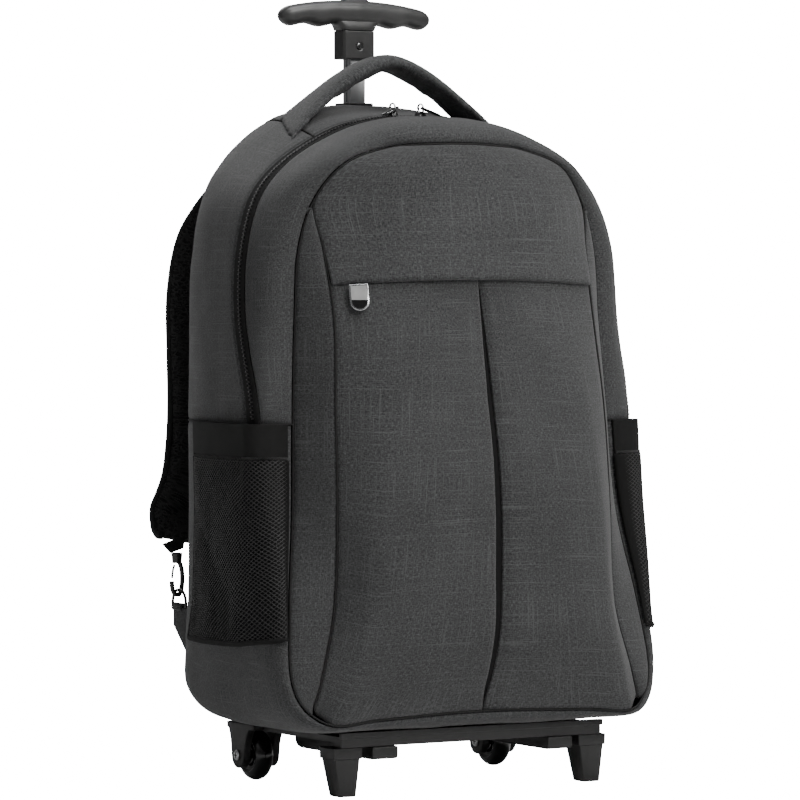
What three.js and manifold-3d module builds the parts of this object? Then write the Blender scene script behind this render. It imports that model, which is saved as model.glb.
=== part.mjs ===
// A wheeled backpack: a padded cloth bag on a moulded base with two feet, two wheels and a
// single-pole trolley handle. Millimetres, +Z up. The front pocket faces -Y and the shoulder
// straps hang behind, on the +Y side. Shapes are laid out with the trolley pole's axis at
// X = Y = 0 and the floor at Z = 0, and the whole bag is centred over its footprint at the end.
import * as THREE from 'three';
import { mergeVertices } from 'three/addons/utils/BufferGeometryUtils.js';
import Module from 'manifold-3d';

const wasm = await Module();
wasm.setup();

// Bag body
const bodyWidth = 380;
const bodyHeight = 515;
const bodyDepth = 234;
const bodyBase = 50;
const backPlane = 22;
const crownRise = 13;
const frontRoundness = 2.9;
const clothWall = 2.5;
const tapeWall = 1.6;
const seamGap = 0.5;
const seatGap = 0.3;

// Front pocket
const pocketSeamSag = 4;
const pocketBulge = 7.5;
const stripBulge = 1.5;
const flapStand = 5;
const flapDrop = 3;
const flapFade = 0.3;
const pleatOpening = 6.5;
const pleatBackingWidth = 34;
const pleatBackingWall = 1.5;
const pleatBackingDepth = 4.5;

// Zippers and their pulls
const tapeFront = 13;
const tapeRear = 5;
const pullTabWidth = 15.7;
const pullTabLength = 22;
const pullTabWall = 1.6;
const pullTabInset = 104;
const frontSliderWidth = 7;
const frontSliderLength = 5;
const frontSliderHeight = 2.4;
const pullTabHead = 0.5;
const pullTabSeat = 1.6;
const sliderLength = 11;
const sliderWidth = 8;
const sliderHeight = 4;
const sliderSpacing = 27;
const pullRingRadius = 4.2;
const pullRingWire = 0.8;
const sliderPitch = 31;
const mainPullSplay = 0.35;
const mainPullDroop = 0.42;
const mainPullLength = 15;
const mainPullWidth = 8.5;
const mainPullWall = 1.6;

// Bottle pockets
const bandHeight = 29;
const bandStand = 5;
const bandWall = 2;
const netWall = 1.2;
const pocketSeat = 0.55;
const netBulge = 8.4;
const netBottomFront = 132;
const netBottomRear = 116;
const pocketTop = 299;

// Carrying handle on the crown
const haulSpan = 176;
const haulRise = 50;
const haulSeat = 15;
const haulBend = 1.5;
const haulWidth = 36;
const haulFootWidth = 58;
const haulThickness = 14;
const haulFootThickness = 6.5;
const haulDepth = -52;
const haulFlare = 0.62;
const haulTurn = 0.24;
const haulSeamBow = 0.17;
const haulReach = 1.12;

// Shoulder straps, snap hooks and rings
const strapWidth = 66;
const strapThickness = 14;
const strapReach = 76.5;
const webbingLead = 8;
const webbingRest = 1;
const webbingWidth = 24;
const webbingWall = 2.4;
const hookAside = 2.4;
const hookAhead = 5.8;
const hookDrop = 10.3;
const hookLength = 41;
const hookWire = 4.4;
const hookWidth = 14;
const swivelRadius = 5;
const swivelHeight = 9;
const gateWire = 2.2;
const ringWire = 3;
const ringWidth = 26;
const ringHeight = 17;
const tabWall = 3;
const tabFootShare = 0.078;
const tabCornerShare = 0.145;
const tabEyeRadius = 3.6;

// Trolley
const poleWidth = 14.5;
const poleDepth = 13;
const poleWall = 1.2;
const poleGroove = 1.2;
const slideDown = 36;
const guideWall = 1.5;
const slideGap = 0.5;
const gripCollarWidth = 31;
const gripCollarDepth = 19;
const handleRaise = 38;
const gripCollarHeight = 24;
const neckFlare = 16;
const neckRise = 9;
const gripLength = 146;
const gripHeight = 26;
const gripDepth = 21;
const gripSag = 8;
const fingerDepth = 2.4;
const buttonLength = 24;
const buttonWidth = 9;
const buttonProud = 2.5;
const buttonTravel = 2.2;
const buttonSkirt = 4;
const topCollarRim = 4.6;
const topCollarHeight = 12;
const screwRadius = 3;
const screwWall = 1;

// Base, feet, skid rails and wheels
const trayWidth = 248;
const trayFront = 193;
const trayRear = 8;
const trayWall = 5.5;
const barHeight = 9;
const barDepth = 12;
const lipHeight = 3.3;
const lipWall = 3.5;
const footInset = 116.7;
const footDepth = 22;
const footBottomWidth = 16.5;
const footTopWidth = 25.6;
const footCollar = 2;
const footCollarHeight = 9;
const railInset = 83.5;
const railWidth = 24;
const railBottom = 29;
const railRear = 66;
const railRound = 4;
const wheelRadius = 21.5;
const wheelWidth = 17;
const wheelInset = 116.2;
const wheelDepth = -36.7;
const axleRadius = 3;
const axleGap = 0.3;
const screwHeadRadius = 4.4;
const screwHeadWall = 1.6;
const forkCheek = 7;
const forkTopLength = 55;
const forkBossRadius = 11;
const forkWheelGap = 1.6;

const cloth = { color: 0x46474a, roughness: 0.95, metalness: 0 };
const darkCloth = { color: 0x303134, roughness: 0.95, metalness: 0 };
const blackCloth = { color: 0x161617, roughness: 0.9, metalness: 0 };
const net = { color: 0x101011, roughness: 0.85, metalness: 0 };
const plastic = { color: 0x2a2a2c, roughness: 0.55, metalness: 0 };
const gripPlastic = { color: 0x4a4b4e, roughness: 0.45, metalness: 0 };
const gloss = { color: 0x0b0b0c, roughness: 0.25, metalness: 0 };
const steel = { color: 0xb8babd, roughness: 0.25, metalness: 1 };
const poleMetal = { color: 0x77797c, roughness: 0.35, metalness: 1 };

// Sections around the bag from the middle of the underside to the crown. Each row holds the
// front seam, the pocket's inner seam, the widest line that carries the zipper, and the back
// seam, as shares of half the body's width, its height and its depth in front of the back panel.
const sections = [
  { front: [0, 0.029, 0.991], zip: [0, 0, 0.607], back: [0, 0.074], swell: 0, round: 3.2 },
  { front: [0.526, 0.023, 0.996], zip: [0.589, 0, 0.607], back: [0.5, 0.074], swell: 0, round: 3.2 },
  { front: [0.753, 0.019, 1], zip: [0.84, 0.008, 0.615], back: [0.642, 0.08], swell: 0, round: 3 },
  {
    front: [0.853, 0.043, 0.962], inner: [0.81, 0.038, 0.958],
    zip: [0.936, 0.037, 0.637], back: [0.716, 0.095], swell: -0.1, round: 2.7,
  },
  {
    front: [0.897, 0.082, 0.933], inner: [0.782, 0.082, 0.962],
    zip: [0.965, 0.1, 0.662], back: [0.747, 0.132], swell: -0.3, round: 2.3,
  },
  {
    front: [0.876, 0.194, 0.882], inner: [0.705, 0.194, 0.943],
    zip: [0.965, 0.194, 0.697], back: [0.753, 0.194], swell: -0.4, round: 2,
  },
  {
    front: [0.813, 0.35, 0.809], inner: [0.687, 0.35, 0.94],
    zip: [0.955, 0.35, 0.714], back: [0.753, 0.35], swell: -0.4, round: 2,
  },
  {
    front: [0.789, 0.505, 0.778], inner: [0.677, 0.505, 0.915],
    zip: [0.952, 0.505, 0.701], back: [0.747, 0.505], swell: -0.2, round: 2,
  },
  {
    front: [0.767, 0.65, 0.76], inner: [0.654, 0.65, 0.872],
    zip: [0.935, 0.65, 0.592], back: [0.734, 0.65], swell: -0.15, round: 2,
  },
  {
    front: [0.748, 0.757, 0.759], inner: [0.663, 0.757, 0.812],
    zip: [0.908, 0.757, 0.567], back: [0.705, 0.757], swell: 0, round: 2,
  },
  { front: [0.678, 0.835, 0.768], zip: [0.818, 0.843, 0.538], back: [0.642, 0.839], swell: 0.4, round: 2 },
  { front: [0.547, 0.893, 0.799], zip: [0.668, 0.897, 0.517], back: [0.526, 0.893], swell: 0.8, round: 2.2 },
  { front: [0.326, 0.919, 0.806], zip: [0.421, 0.948, 0.517], back: [0.337, 0.943], swell: 1.25, round: 2.3 },
  { front: [0.158, 0.925, 0.846], zip: [0.168, 0.97, 0.47], back: [0.147, 0.971], swell: 1, round: 2.3 },
  { front: [0, 0.926, 0.859], zip: [0, 0.973, 0.4615], back: [0, 0.975], swell: 1, round: 2.3 },
];
const crown = sections.length - 1;
const cornerSection = 3;
const shoulderSection = 10.5;
const pocketSeamSection = 8.53;
const seamsPart = 2;
const seamsMeet = 10;
const stripFoot = 3.2;
const stripHead = 9.82;

// Depth of the pocket's middle line by height, in the same shares
const pocketMiddle = [
  { up: 0.029, depth: 0.991 },
  { up: 0.06, depth: 1.004 },
  { up: 0.095, depth: 1.038 },
  { up: 0.159, depth: 1.073 },
  { up: 0.24, depth: 1.079 },
  { up: 0.332, depth: 1.077 },
  { up: 0.427, depth: 1.06 },
  { up: 0.52, depth: 1.025 },
  { up: 0.614, depth: 0.991 },
  { up: 0.7146, depth: 0.957 },
  { up: 0.8, depth: 0.935 },
  { up: 0.87, depth: 0.902 },
  { up: 0.927, depth: 0.862 },
];

const bag = new THREE.Group();
const gripCollarBase = bodyBase + bodyHeight + handleRaise;

function place(name, geometry, finish, parent = bag) {
  const mesh = new THREE.Mesh(geometry, new THREE.MeshStandardMaterial(finish));
  mesh.name = name;
  parent.add(mesh);
  return mesh;
}

function lerp(a, b, share) {
  return a + (b - a) * share;
}

function between(a, b, share) {
  return new THREE.Vector3().lerpVectors(a, b, share);
}

// Closed solids from grids and rings of points
function signedVolume(points, faces) {
  let volume = 0;
  for (const [a, b, c] of faces) {
    volume += points[a].dot(new THREE.Vector3().crossVectors(points[b], points[c]));
  }
  return volume / 6;
}

function meshFrom(points, faces) {
  const outward = signedVolume(points, faces) > 0;
  const geometry = new THREE.BufferGeometry().setFromPoints(points);
  geometry.setIndex(faces.flatMap(([a, b, c]) => (outward ? [a, b, c] : [a, c, b])));
  geometry.computeVertexNormals();
  return geometry;
}

function gridSolid(outer, inner) {
  const rows = outer.length;
  const columns = outer[0].length;
  const points = [...outer.flat(), ...inner.flat()];
  const faces = [];
  const at = (i, j, under) => (under ? rows * columns : 0) + i * columns + j;
  const quad = (a, b, c, d) => faces.push([a, b, c], [a, c, d]);
  for (let i = 0; i < rows - 1; i += 1) {
    for (let j = 0; j < columns - 1; j += 1) {
      quad(at(i, j), at(i + 1, j), at(i + 1, j + 1), at(i, j + 1));
      quad(at(i, j, true), at(i, j + 1, true), at(i + 1, j + 1, true), at(i + 1, j, true));
    }
  }
  for (let i = 0; i < rows - 1; i += 1) {
    quad(at(i, 0), at(i, 0, true), at(i + 1, 0, true), at(i + 1, 0));
    quad(at(i, columns - 1), at(i + 1, columns - 1), at(i + 1, columns - 1, true), at(i, columns - 1, true));
  }
  for (let j = 0; j < columns - 1; j += 1) {
    quad(at(0, j), at(0, j + 1), at(0, j + 1, true), at(0, j, true));
    quad(at(rows - 1, j), at(rows - 1, j, true), at(rows - 1, j + 1, true), at(rows - 1, j + 1));
  }
  return meshFrom(points, faces);
}

function ringSolid(rings) {
  const sides = rings[0].length;
  const points = rings.flat();
  const faces = [];
  for (let i = 0; i < rings.length - 1; i += 1) {
    for (let j = 0; j < sides; j += 1) {
      const next = (j + 1) % sides;
      const a = i * sides + j;
      const b = i * sides + next;
      faces.push([a, b, b + sides], [a, b + sides, a + sides]);
    }
  }
  const last = (rings.length - 1) * sides;
  for (let j = 1; j < sides - 1; j += 1) {
    faces.push([0, j + 1, j], [last, last + j, last + j + 1]);
  }
  return meshFrom(points, faces);
}

function sharedVertices(geometry) {
  const bare = geometry.clone();
  bare.deleteAttribute('normal');
  bare.deleteAttribute('uv');
  return mergeVertices(bare, 1e-4);
}

function toSolid(geometry) {
  const merged = sharedVertices(geometry);
  const vertProperties = new Float32Array(merged.attributes.position.array);
  const triVerts = new Uint32Array(merged.index.array);
  return new wasm.Manifold(new wasm.Mesh({ numProp: 3, vertProperties, triVerts }));
}

function fromSolid(solid) {
  const { vertProperties, triVerts, numProp } = solid.getMesh();
  const points = [];
  for (let i = 0; i < vertProperties.length; i += numProp) {
    points.push(new THREE.Vector3(vertProperties[i], vertProperties[i + 1], vertProperties[i + 2]));
  }
  const geometry = new THREE.BufferGeometry().setFromPoints(points);
  geometry.setIndex([...triVerts]);
  geometry.computeVertexNormals();
  return geometry;
}

function join(...shapes) {
  const solids = shapes.map(toSolid);
  return fromSolid(solids.reduce((whole, piece) => whole.add(piece)));
}

function cut(shape, ...tools) {
  return fromSolid(tools.map(toSolid).reduce((whole, tool) => whole.subtract(tool), toSolid(shape)));
}

function boxAt(width, depth, height, x, y, z) {
  return new THREE.BoxGeometry(width, depth, height).translate(x, y, z);
}

// A block from its lowest to its highest corner
function block(x0, x1, y0, y1, z0, z1) {
  return boxAt(x1 - x0, y1 - y0, z1 - z0, (x0 + x1) / 2, (y0 + y1) / 2, (z0 + z1) / 2);
}

function rodAlongX(radius, x0, x1, y, z, sides) {
  const rod = new THREE.CylinderGeometry(radius, radius, x1 - x0, sides);
  return rod.rotateZ(Math.PI / 2).translate((x0 + x1) / 2, y, z);
}

function mirrored(geometry) {
  const copy = sharedVertices(geometry).scale(-1, 1, 1);
  const index = copy.index.array;
  for (let i = 0; i < index.length; i += 3) {
    [index[i], index[i + 1]] = [index[i + 1], index[i]];
  }
  copy.computeVertexNormals();
  return copy;
}

// Bag surface
function bagSpot(across, up, depth = 0) {
  return new THREE.Vector3(across * bodyWidth / 2, backPlane - depth * bodyDepth, bodyBase + up * bodyHeight);
}

function seamLoop(pick) {
  const points = [];
  for (let i = 0; i < 2 * crown; i += 1) {
    const [across, up, depth] = pick(sections[i <= crown ? i : 2 * crown - i]);
    points.push(bagSpot(i <= crown ? across : -across, up, depth));
  }
  return new THREE.CatmullRomCurve3(points, true, 'centripetal');
}

const frontLoop = seamLoop((row) => row.front);
const innerLoop = seamLoop((row) => row.inner ?? row.front);
const zipLoop = seamLoop((row) => row.zip);
const backLoop = seamLoop((row) => row.back);

// Seams are taken as straight runs between half sections, so neighbouring panels share them
function onLoop(loop, section) {
  const low = Math.floor(section * 2) / 2;
  const start = loop.getPoint(wrap(low) / (2 * crown));
  const end = loop.getPoint(wrap(low + 0.5) / (2 * crown));
  return between(start, end, (section - low) * 2);
}

function wrap(section) {
  const whole = 2 * crown;
  return ((section % whole) + whole) % whole;
}

// The pocket's edge: its own seam at the sides, the front seam at the foot and over the top
function onPocketEdge(section) {
  const folded = Math.min(wrap(section), 2 * crown - wrap(section));
  if (folded <= seamsPart || folded >= seamsMeet) {
    return onLoop(frontLoop, section);
  }
  if (folded < cornerSection) {
    const side = wrap(section) < crown ? 1 : -1;
    const share = (folded - seamsPart) / (cornerSection - seamsPart);
    return between(onLoop(frontLoop, side * seamsPart), onLoop(innerLoop, side * cornerSection), share);
  }
  return onLoop(innerLoop, section);
}

function columnAt(name, section) {
  const folded = Math.min(wrap(section), 2 * crown - wrap(section));
  const low = Math.min(Math.floor(folded), crown - 1);
  return lerp(sections[low][name], sections[low + 1][name], folded - low);
}

// A quarter of a rounded box in its unit square: 0 along the first axis, 1 along the second
function quarter(share, roundness) {
  const angle = share * Math.PI / 2;
  const reach = (Math.cos(angle) ** roundness + Math.sin(angle) ** roundness) ** (-1 / roundness);
  return [Math.cos(angle) * reach, Math.sin(angle) * reach];
}

// s runs from 0 at the front seam through 1 at the zipper line to 2 at the back seam
function bagSide(section, s) {
  const front = onLoop(frontLoop, section);
  const zip = onLoop(zipLoop, section);
  const back = onLoop(backLoop, section);
  if (s <= 1) {
    const [ahead, out] = quarter(s, frontRoundness);
    const point = between(front, zip, out);
    point.y = lerp(zip.y, front.y, ahead);
    return point;
  }
  const [out, behind] = quarter(s - 1, columnAt('round', section));
  const tangent = zipLoop.getTangent(wrap(section) / (2 * crown)).setY(0).normalize();
  const swell = columnAt('swell', section) * crownRise * Math.sin((s - 1) * Math.PI);
  const point = between(back, zip, out);
  point.y = lerp(zip.y, back.y, behind);
  point.x += tangent.z * swell;
  point.z -= tangent.x * swell;
  return point;
}

// The s that lies a distance along the cloth from another one
function alongSide(section, start, distance) {
  const step = Math.sign(distance) * 0.005;
  let s = start;
  let walked = 0;
  while (walked < Math.abs(distance) && s > 0 && s < 2) {
    walked += bagSide(section, s).distanceTo(bagSide(section, s + step));
    s += step;
  }
  return s;
}

// Height of the cloth floor inside the bag, on its middle line
function bagFloor(depth) {
  let s = 1;
  while (s < 2 && bagSide(0, s).y < depth + clothWall) {
    s += 0.01;
  }
  return bagSide(0, s).z + clothWall + 4 * seatGap;
}

const bagCentre = bagSpot(0, 0.485, 0.48);
const bagHalf = new THREE.Vector3(bodyWidth / 2, bodyDepth * 0.55, bodyHeight / 2);

function inward(point) {
  const share = point.clone().sub(bagCentre).divide(bagHalf);
  const pull = new THREE.Vector3(share.x ** 3, share.y ** 3, share.z ** 3).divide(bagHalf);
  return pull.normalize().negate();
}

function normalAt(surface, u, v) {
  const step = 0.002;
  const along = surface(u + step, v).sub(surface(u - step, v));
  const across = surface(u, v + step).sub(surface(u, v - step));
  return along.cross(across).normalize();
}

function sampledLength(curve) {
  let total = 0;
  for (let i = 0; i < 24; i += 1) {
    total += curve(i / 24).distanceTo(curve((i + 1) / 24));
  }
  return total;
}

// Shares at which a stretch between two sections crosses every half section, so that panels
// that meet along a seam bend at the same points
function stops(from, to) {
  const low = Math.min(from, to);
  const high = Math.max(from, to);
  const shares = [0, 1];
  for (let at = Math.ceil(low * 2) / 2; at < high; at += 0.5) {
    if (at - low > 0.04 && high - at > 0.04) {
      shares.push((at - from) / (to - from));
    }
  }
  return shares.sort((a, b) => a - b);
}

function evenly(count) {
  return Array.from({ length: count + 1 }, (_, i) => i / count);
}

// A cloth panel over a surface on the unit square, half a seam gap short at each edge
function panel(surface, columns, rows, wall = clothWall, into = inward) {
  const trimU = seamGap / 2 / sampledLength((u) => surface(u, 0.5));
  const trimV = seamGap / 2 / sampledLength((v) => surface(0.5, v));
  const outer = [];
  const inner = [];
  for (const column of columns) {
    const u = Math.min(1 - trimU, Math.max(trimU, column));
    const points = rows.map((row) => surface(u, Math.min(1 - trimV, Math.max(trimV, row))));
    outer.push(points);
    inner.push(points.map((point) => point.clone().addScaledVector(into(point), wall)));
  }
  return gridSolid(outer, inner);
}

function coons(bottom, top, left, right) {
  return (u, v) => {
    const ruled = between(bottom(u), top(u), v).add(between(left(v), right(v), u));
    const low = between(bottom(0), bottom(1), u);
    const high = between(top(0), top(1), u);
    return ruled.sub(between(low, high, v));
  };
}

// Sections where the cloth changes hands, worked out from heights
function sectionAt(height, loop = zipLoop) {
  let low = cornerSection;
  let high = crown;
  for (let i = 0; i < 40; i += 1) {
    const middle = (low + high) / 2;
    if (onLoop(loop, middle).z < height) {
      low = middle;
    } else {
      high = middle;
    }
  }
  return low;
}

const around = 2 * crown;
const zipEnd = sectionAt(pocketTop);
const haulSection = (() => {
  let low = shoulderSection;
  let high = crown;
  for (let i = 0; i < 40; i += 1) {
    const middle = (low + high) / 2;
    if (onLoop(zipLoop, middle).x > haulSpan / 2 * 1.05) {
      low = middle;
    } else {
      high = middle;
    }
  }
  return low;
})();

// s at the two edges of the zipper tape
function tapeEdge(section, rear) {
  return alongSide(section, 1, rear ? tapeRear : -tapeFront);
}

// bow0 and bow1 bend the two ends along the bag between its seams
function gusset(from, to, edge0, edge1, bow0 = 0, bow1 = 0) {
  return (u, v) => {
    const straight = lerp(from, to, u);
    const near0 = Math.max(0, 1 - Math.abs(straight - from));
    const near1 = Math.max(0, 1 - Math.abs(straight - to));
    const section = straight + Math.sin(Math.PI * v) * (bow0 * near0 + bow1 * near1);
    return bagSide(section, lerp(edge0(section), edge1(section), v));
  };
}

function buildBody() {
  const none = () => 0;
  const end = () => 2;
  const tapeAhead = (section) => tapeEdge(section, false);
  const tapeBehind = (section) => tapeEdge(section, true);
  const last = around - zipEnd;
  const arch = stops(zipEnd, last);
  place('front_gusset', panel(gusset(zipEnd, last, none, tapeAhead), arch, evenly(4)), cloth);
  const tape = gusset(zipEnd, last, tapeAhead, tapeBehind);
  place('main_zipper', panel(tape, arch, evenly(2), tapeWall), blackCloth);
  const under = stops(-zipEnd, zipEnd);
  place('lower_gusset', panel(gusset(-zipEnd, zipEnd, none, end), under, evenly(9)), cloth);
  const bow = haulSeamBow;
  const right = gusset(zipEnd, haulSection, tapeBehind, end, 0, bow);
  const left = gusset(around - haulSection, last, tapeBehind, end, -bow, 0);
  place('rear_gusset_right', panel(right, stops(zipEnd, haulSection), evenly(5)), darkCloth);
  place('rear_gusset_left', panel(left, stops(around - haulSection, last), evenly(5)), darkCloth);
  const over = gusset(haulSection, around - haulSection, tapeBehind, end, bow, -bow);
  const top = panel(over, stops(haulSection, around - haulSection), evenly(6));
  place('rear_gusset_top', cut(top, collarBlock(seamGap)), darkCloth);
  const across = stops(-cornerSection, cornerSection);
  place('back_panel', panel(backSurface(), across, stops(cornerSection, shoulderSection)), blackCloth);
}

function backSurface() {
  const edge = (from, to) => (share) => onLoop(backLoop, lerp(from, to, share));
  return coons(
    edge(-cornerSection, cornerSection),
    edge(around - shoulderSection, shoulderSection),
    edge(around - cornerSection, around - shoulderSection),
    edge(cornerSection, shoulderSection),
  );
}

// Front pocket
const middleCurve = new THREE.SplineCurve(
  pocketMiddle.map((row) => new THREE.Vector2(row.up, row.depth)),
);

function middleDepth(up) {
  let low = 0;
  let high = 1;
  for (let i = 0; i < 30; i += 1) {
    const share = (low + high) / 2;
    if (middleCurve.getPoint(share).x < up) {
      low = share;
    } else {
      high = share;
    }
  }
  return middleCurve.getPoint(low).y;
}

const seamEnd = onPocketEdge(pocketSeamSection);
const seamHeight = seamEnd.z + pocketSeamSag;
const seamUp = (seamHeight - bodyBase) / bodyHeight;
const seamMiddle = bagSpot(0, seamUp, middleDepth(seamUp));

// The seam under the flap, from the middle (0) to its end (1), on either side
function pocketSeam(share) {
  const bend = Math.abs(share) ** 2.2;
  return new THREE.Vector3(
    share * seamEnd.x,
    lerp(seamMiddle.y, seamEnd.y, bend),
    lerp(seamMiddle.z, seamEnd.z, share * share),
  );
}

function lowerPocket(side) {
  const startHeight = onPocketEdge(0).z;
  const cornerHeight = onPocketEdge(cornerSection).z;
  const edge = (v) => onPocketEdge(side * lerp(cornerSection, pocketSeamSection, v));
  const middle = (v) => {
    const share = (edge(v).z - cornerHeight) / (seamEnd.z - cornerHeight);
    const height = lerp(startHeight, seamMiddle.z, share);
    const up = (height - bodyBase) / bodyHeight;
    return bagSpot(0, up, middleDepth(up));
  };
  const bottom = (u) => onPocketEdge(side * cornerSection * u);
  const base = coons(bottom, (u) => pocketSeam(side * u), middle, edge);
  return (u, v) => {
    const point = base(u, v);
    point.y -= pocketBulge * 4 * u * (1 - u) * 4 * v * (1 - v);
    if (side > 0) {
      point.x += pleatOpening * (1 - u) * Math.max(0, Math.sin(Math.PI * v)) ** 0.8;
    }
    return point;
  };
}

function upperPocket() {
  const target = new THREE.Vector3(0, 0, lerp(bodyBase, bodyBase + bodyHeight, 0.76));
  return (u, v) => {
    const side = 2 * u - 1;
    const edge = onPocketEdge(lerp(pocketSeamSection, crown - 0.5, v));
    edge.addScaledVector(target.clone().setY(edge.y).sub(edge).normalize(), seamGap * 0.7);
    const up = (edge.z - bodyBase) / bodyHeight;
    const middle = bagSpot(0, up, middleDepth(up));
    const fade = Math.max(0, 1 - v / flapFade) ** 2;
    return new THREE.Vector3(
      side * edge.x,
      lerp(middle.y, edge.y, Math.abs(side) ** 2.3) - flapStand * fade,
      edge.z - flapDrop * fade + pocketSeamSag * (1 - side * side) * Math.max(0, 1 - v * 3),
    );
  };
}

function frontStrip(side) {
  return (u, v) => {
    const section = side * lerp(stripFoot, stripHead, v);
    const point = between(onPocketEdge(section), onLoop(frontLoop, section), u);
    point.addScaledVector(inward(point), -stripBulge * 4 * u * (1 - u));
    return point;
  };
}

function buildFront() {
  const rise = stops(pocketSeamSection, crown - 0.5);
  place('pocket_upper', panel(upperPocket(), evenly(12), rise), cloth);
  const foot = stops(0, cornerSection);
  const height = stops(cornerSection, pocketSeamSection);
  place('pocket_lower_left', panel(lowerPocket(-1), foot, height), cloth);
  place('pocket_lower_right', panel(lowerPocket(1), foot, height), cloth);
  const run = stops(stripFoot, stripHead);
  place('front_strip_left', panel(frontStrip(-1), evenly(2), run), cloth);
  place('front_strip_right', panel(frontStrip(1), evenly(2), run), cloth);
  const half = pleatBackingWidth / 2;
  const strip = (u, v) => {
    const up = lerp(0.05, 0.69, v);
    const point = bagSpot(0, up, middleDepth(up));
    point.x = lerp(pleatOpening / 2 - half, pleatOpening / 2 + half, u);
    point.y += pleatBackingDepth;
    return point;
  };
  const back = () => new THREE.Vector3(0, 1, 0);
  place('pleat_backing', panel(strip, evenly(2), evenly(14), pleatBackingWall, back), darkCloth);
}

// Bottle pockets at both sides: a stiff band round the mouth and a net below it
function pocketSurface(side, stand) {
  return (u, height) => {
    const section = sectionAt(height);
    const s = lerp(0.1, 1.52, u);
    const normal = normalAt(bagSide, section, s);
    const point = bagSide(section, s);
    if (normal.dot(inward(point)) > 0) {
      normal.negate();
    }
    point.addScaledVector(normal, stand(u));
    point.x *= side;
    return point;
  };
}

function buildBottlePockets() {
  for (const [side, label] of [[-1, 'left'], [1, 'right']]) {
    const bandFoot = pocketTop - bandHeight;
    const bandLift = (u) => bandWall + pocketSeat + bandStand * Math.sin(Math.PI * u);
    const bandSurface = pocketSurface(side, bandLift);
    const band = (u, v) => bandSurface(u, lerp(bandFoot, pocketTop, v));
    place(`side_pocket_band_${label}`, panel(band, evenly(10), evenly(1), bandWall), blackCloth);
    const bag = (v) => netBulge * Math.max(0, Math.sin(Math.PI * lerp(0.08, 0.72, v))) ** 0.8;
    const netSurface = (u, v) => {
      const foot = lerp(netBottomFront, netBottomRear, u);
      const height = lerp(foot, bandFoot, v);
      const rise = (x) => netWall + pocketSeat + bag(v) * Math.max(0, Math.sin(Math.PI * x)) ** 0.7;
      return pocketSurface(side, rise)(u, height);
    };
    place(`side_pocket_net_${label}`, panel(netSurface, evenly(10), evenly(7), netWall), net);
  }
}

// Handle on the crown
function pill(centre, wide, thick, width, thickness, sides = 12, roundness = 3.2) {
  const ring = [];
  for (let i = 0; i < sides; i += 1) {
    const angle = 2 * Math.PI * (i + 0.5) / sides;
    const c = Math.cos(angle);
    const k = Math.sin(angle);
    const reach = (Math.abs(c) ** roundness + Math.abs(k) ** roundness) ** (-1 / roundness);
    ring.push(centre.clone()
      .addScaledVector(wide, c * reach * width / 2)
      .addScaledVector(thick, k * reach * thickness / 2));
  }
  return ring;
}

function haulPoint(share) {
  const foot = onLoop(zipLoop, haulSection).z + haulSeat;
  const x = share * haulSpan / 2;
  return new THREE.Vector3(x, haulDepth, foot + haulRise * (1 - Math.abs(share) ** haulBend));
}

// The grip is narrow and thick; each foot spreads flat and turns its front corner outwards
function haulRing(share) {
  const reach = Math.abs(share);
  const ahead = haulPoint(share + 0.01).sub(haulPoint(share - 0.01)).normalize();
  const spread = Math.max(0, (reach - haulFlare) / (1 - haulFlare)) ** 1.6;
  const turn = Math.sign(share) * haulTurn * spread;
  const wide = new THREE.Vector3(-turn, 1, Math.abs(turn)).normalize();
  const thick = wide.clone().cross(ahead).normalize();
  const width = lerp(haulWidth, haulFootWidth, spread);
  const thickness = lerp(haulThickness, haulFootThickness, reach ** 2.5);
  return pill(haulPoint(share), wide, thick, width, thickness, 10, 2.6);
}

// The bag's outer skin with a seat gap, which whatever stands on the bag is cut back from
function bagPlug() {
  const rings = [];
  for (let j = 0; j <= 12; j += 1) {
    const ring = [];
    for (let i = 0; i < 4 * crown; i += 1) {
      const point = bagSide(i / 2, j / 6);
      ring.push(point.addScaledVector(inward(point), -seatGap - 0.5));
    }
    rings.push(ring);
  }
  return ringSolid(rings);
}

function buildHaulHandle() {
  const rings = evenly(20).map((step) => haulRing(lerp(-haulReach, haulReach, step)));
  place('haul_handle', cut(ringSolid(rings), bagPlug()), cloth);
}

// Trolley: guide tube inside the bag, sliding pole, handle collar and T grip
function collarBlock(clearance) {
  const width = poleWidth + 2 * (slideGap + topCollarRim + clearance);
  const depth = poleDepth + 2 * (slideGap + topCollarRim + clearance);
  const top = bodyBase + bodyHeight + 1;
  return block(-width / 2, width / 2, -depth / 2, depth / 2, top - topCollarHeight, top);
}

function poleBlock(extra, low, high) {
  const width = poleWidth / 2 + extra;
  const depth = poleDepth / 2 + extra;
  return block(-width, width, -depth, depth, low, high);
}

function gripRing(x) {
  const share = Math.abs(x) / (gripLength / 2);
  const end = Math.sqrt(Math.max(0, 1 - Math.max(0, (share - 0.86) / 0.145) ** 2));
  const base = gripCollarBase + gripCollarHeight;
  const middle = base + gripHeight;
  const top = middle - gripSag * share ** 2.2;
  const fingers = share > 0.25 ? Math.sin(share * Math.PI * 5.2) : 0;
  const bottom = base + 4 - fingerDepth * 0.5 * fingers;
  const half = (top - bottom) / 2 * lerp(0.35, 1, end);
  const centre = new THREE.Vector3(x, 0, (top + bottom) / 2);
  const wide = new THREE.Vector3(0, 1, 0);
  const high = new THREE.Vector3(0, 0, 1);
  const depth = lerp(gripDepth, gripDepth * 0.8, share) * lerp(0.35, 1, end);
  return pill(centre, wide, high, depth, 2 * half, 10, 2.5);
}

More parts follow.
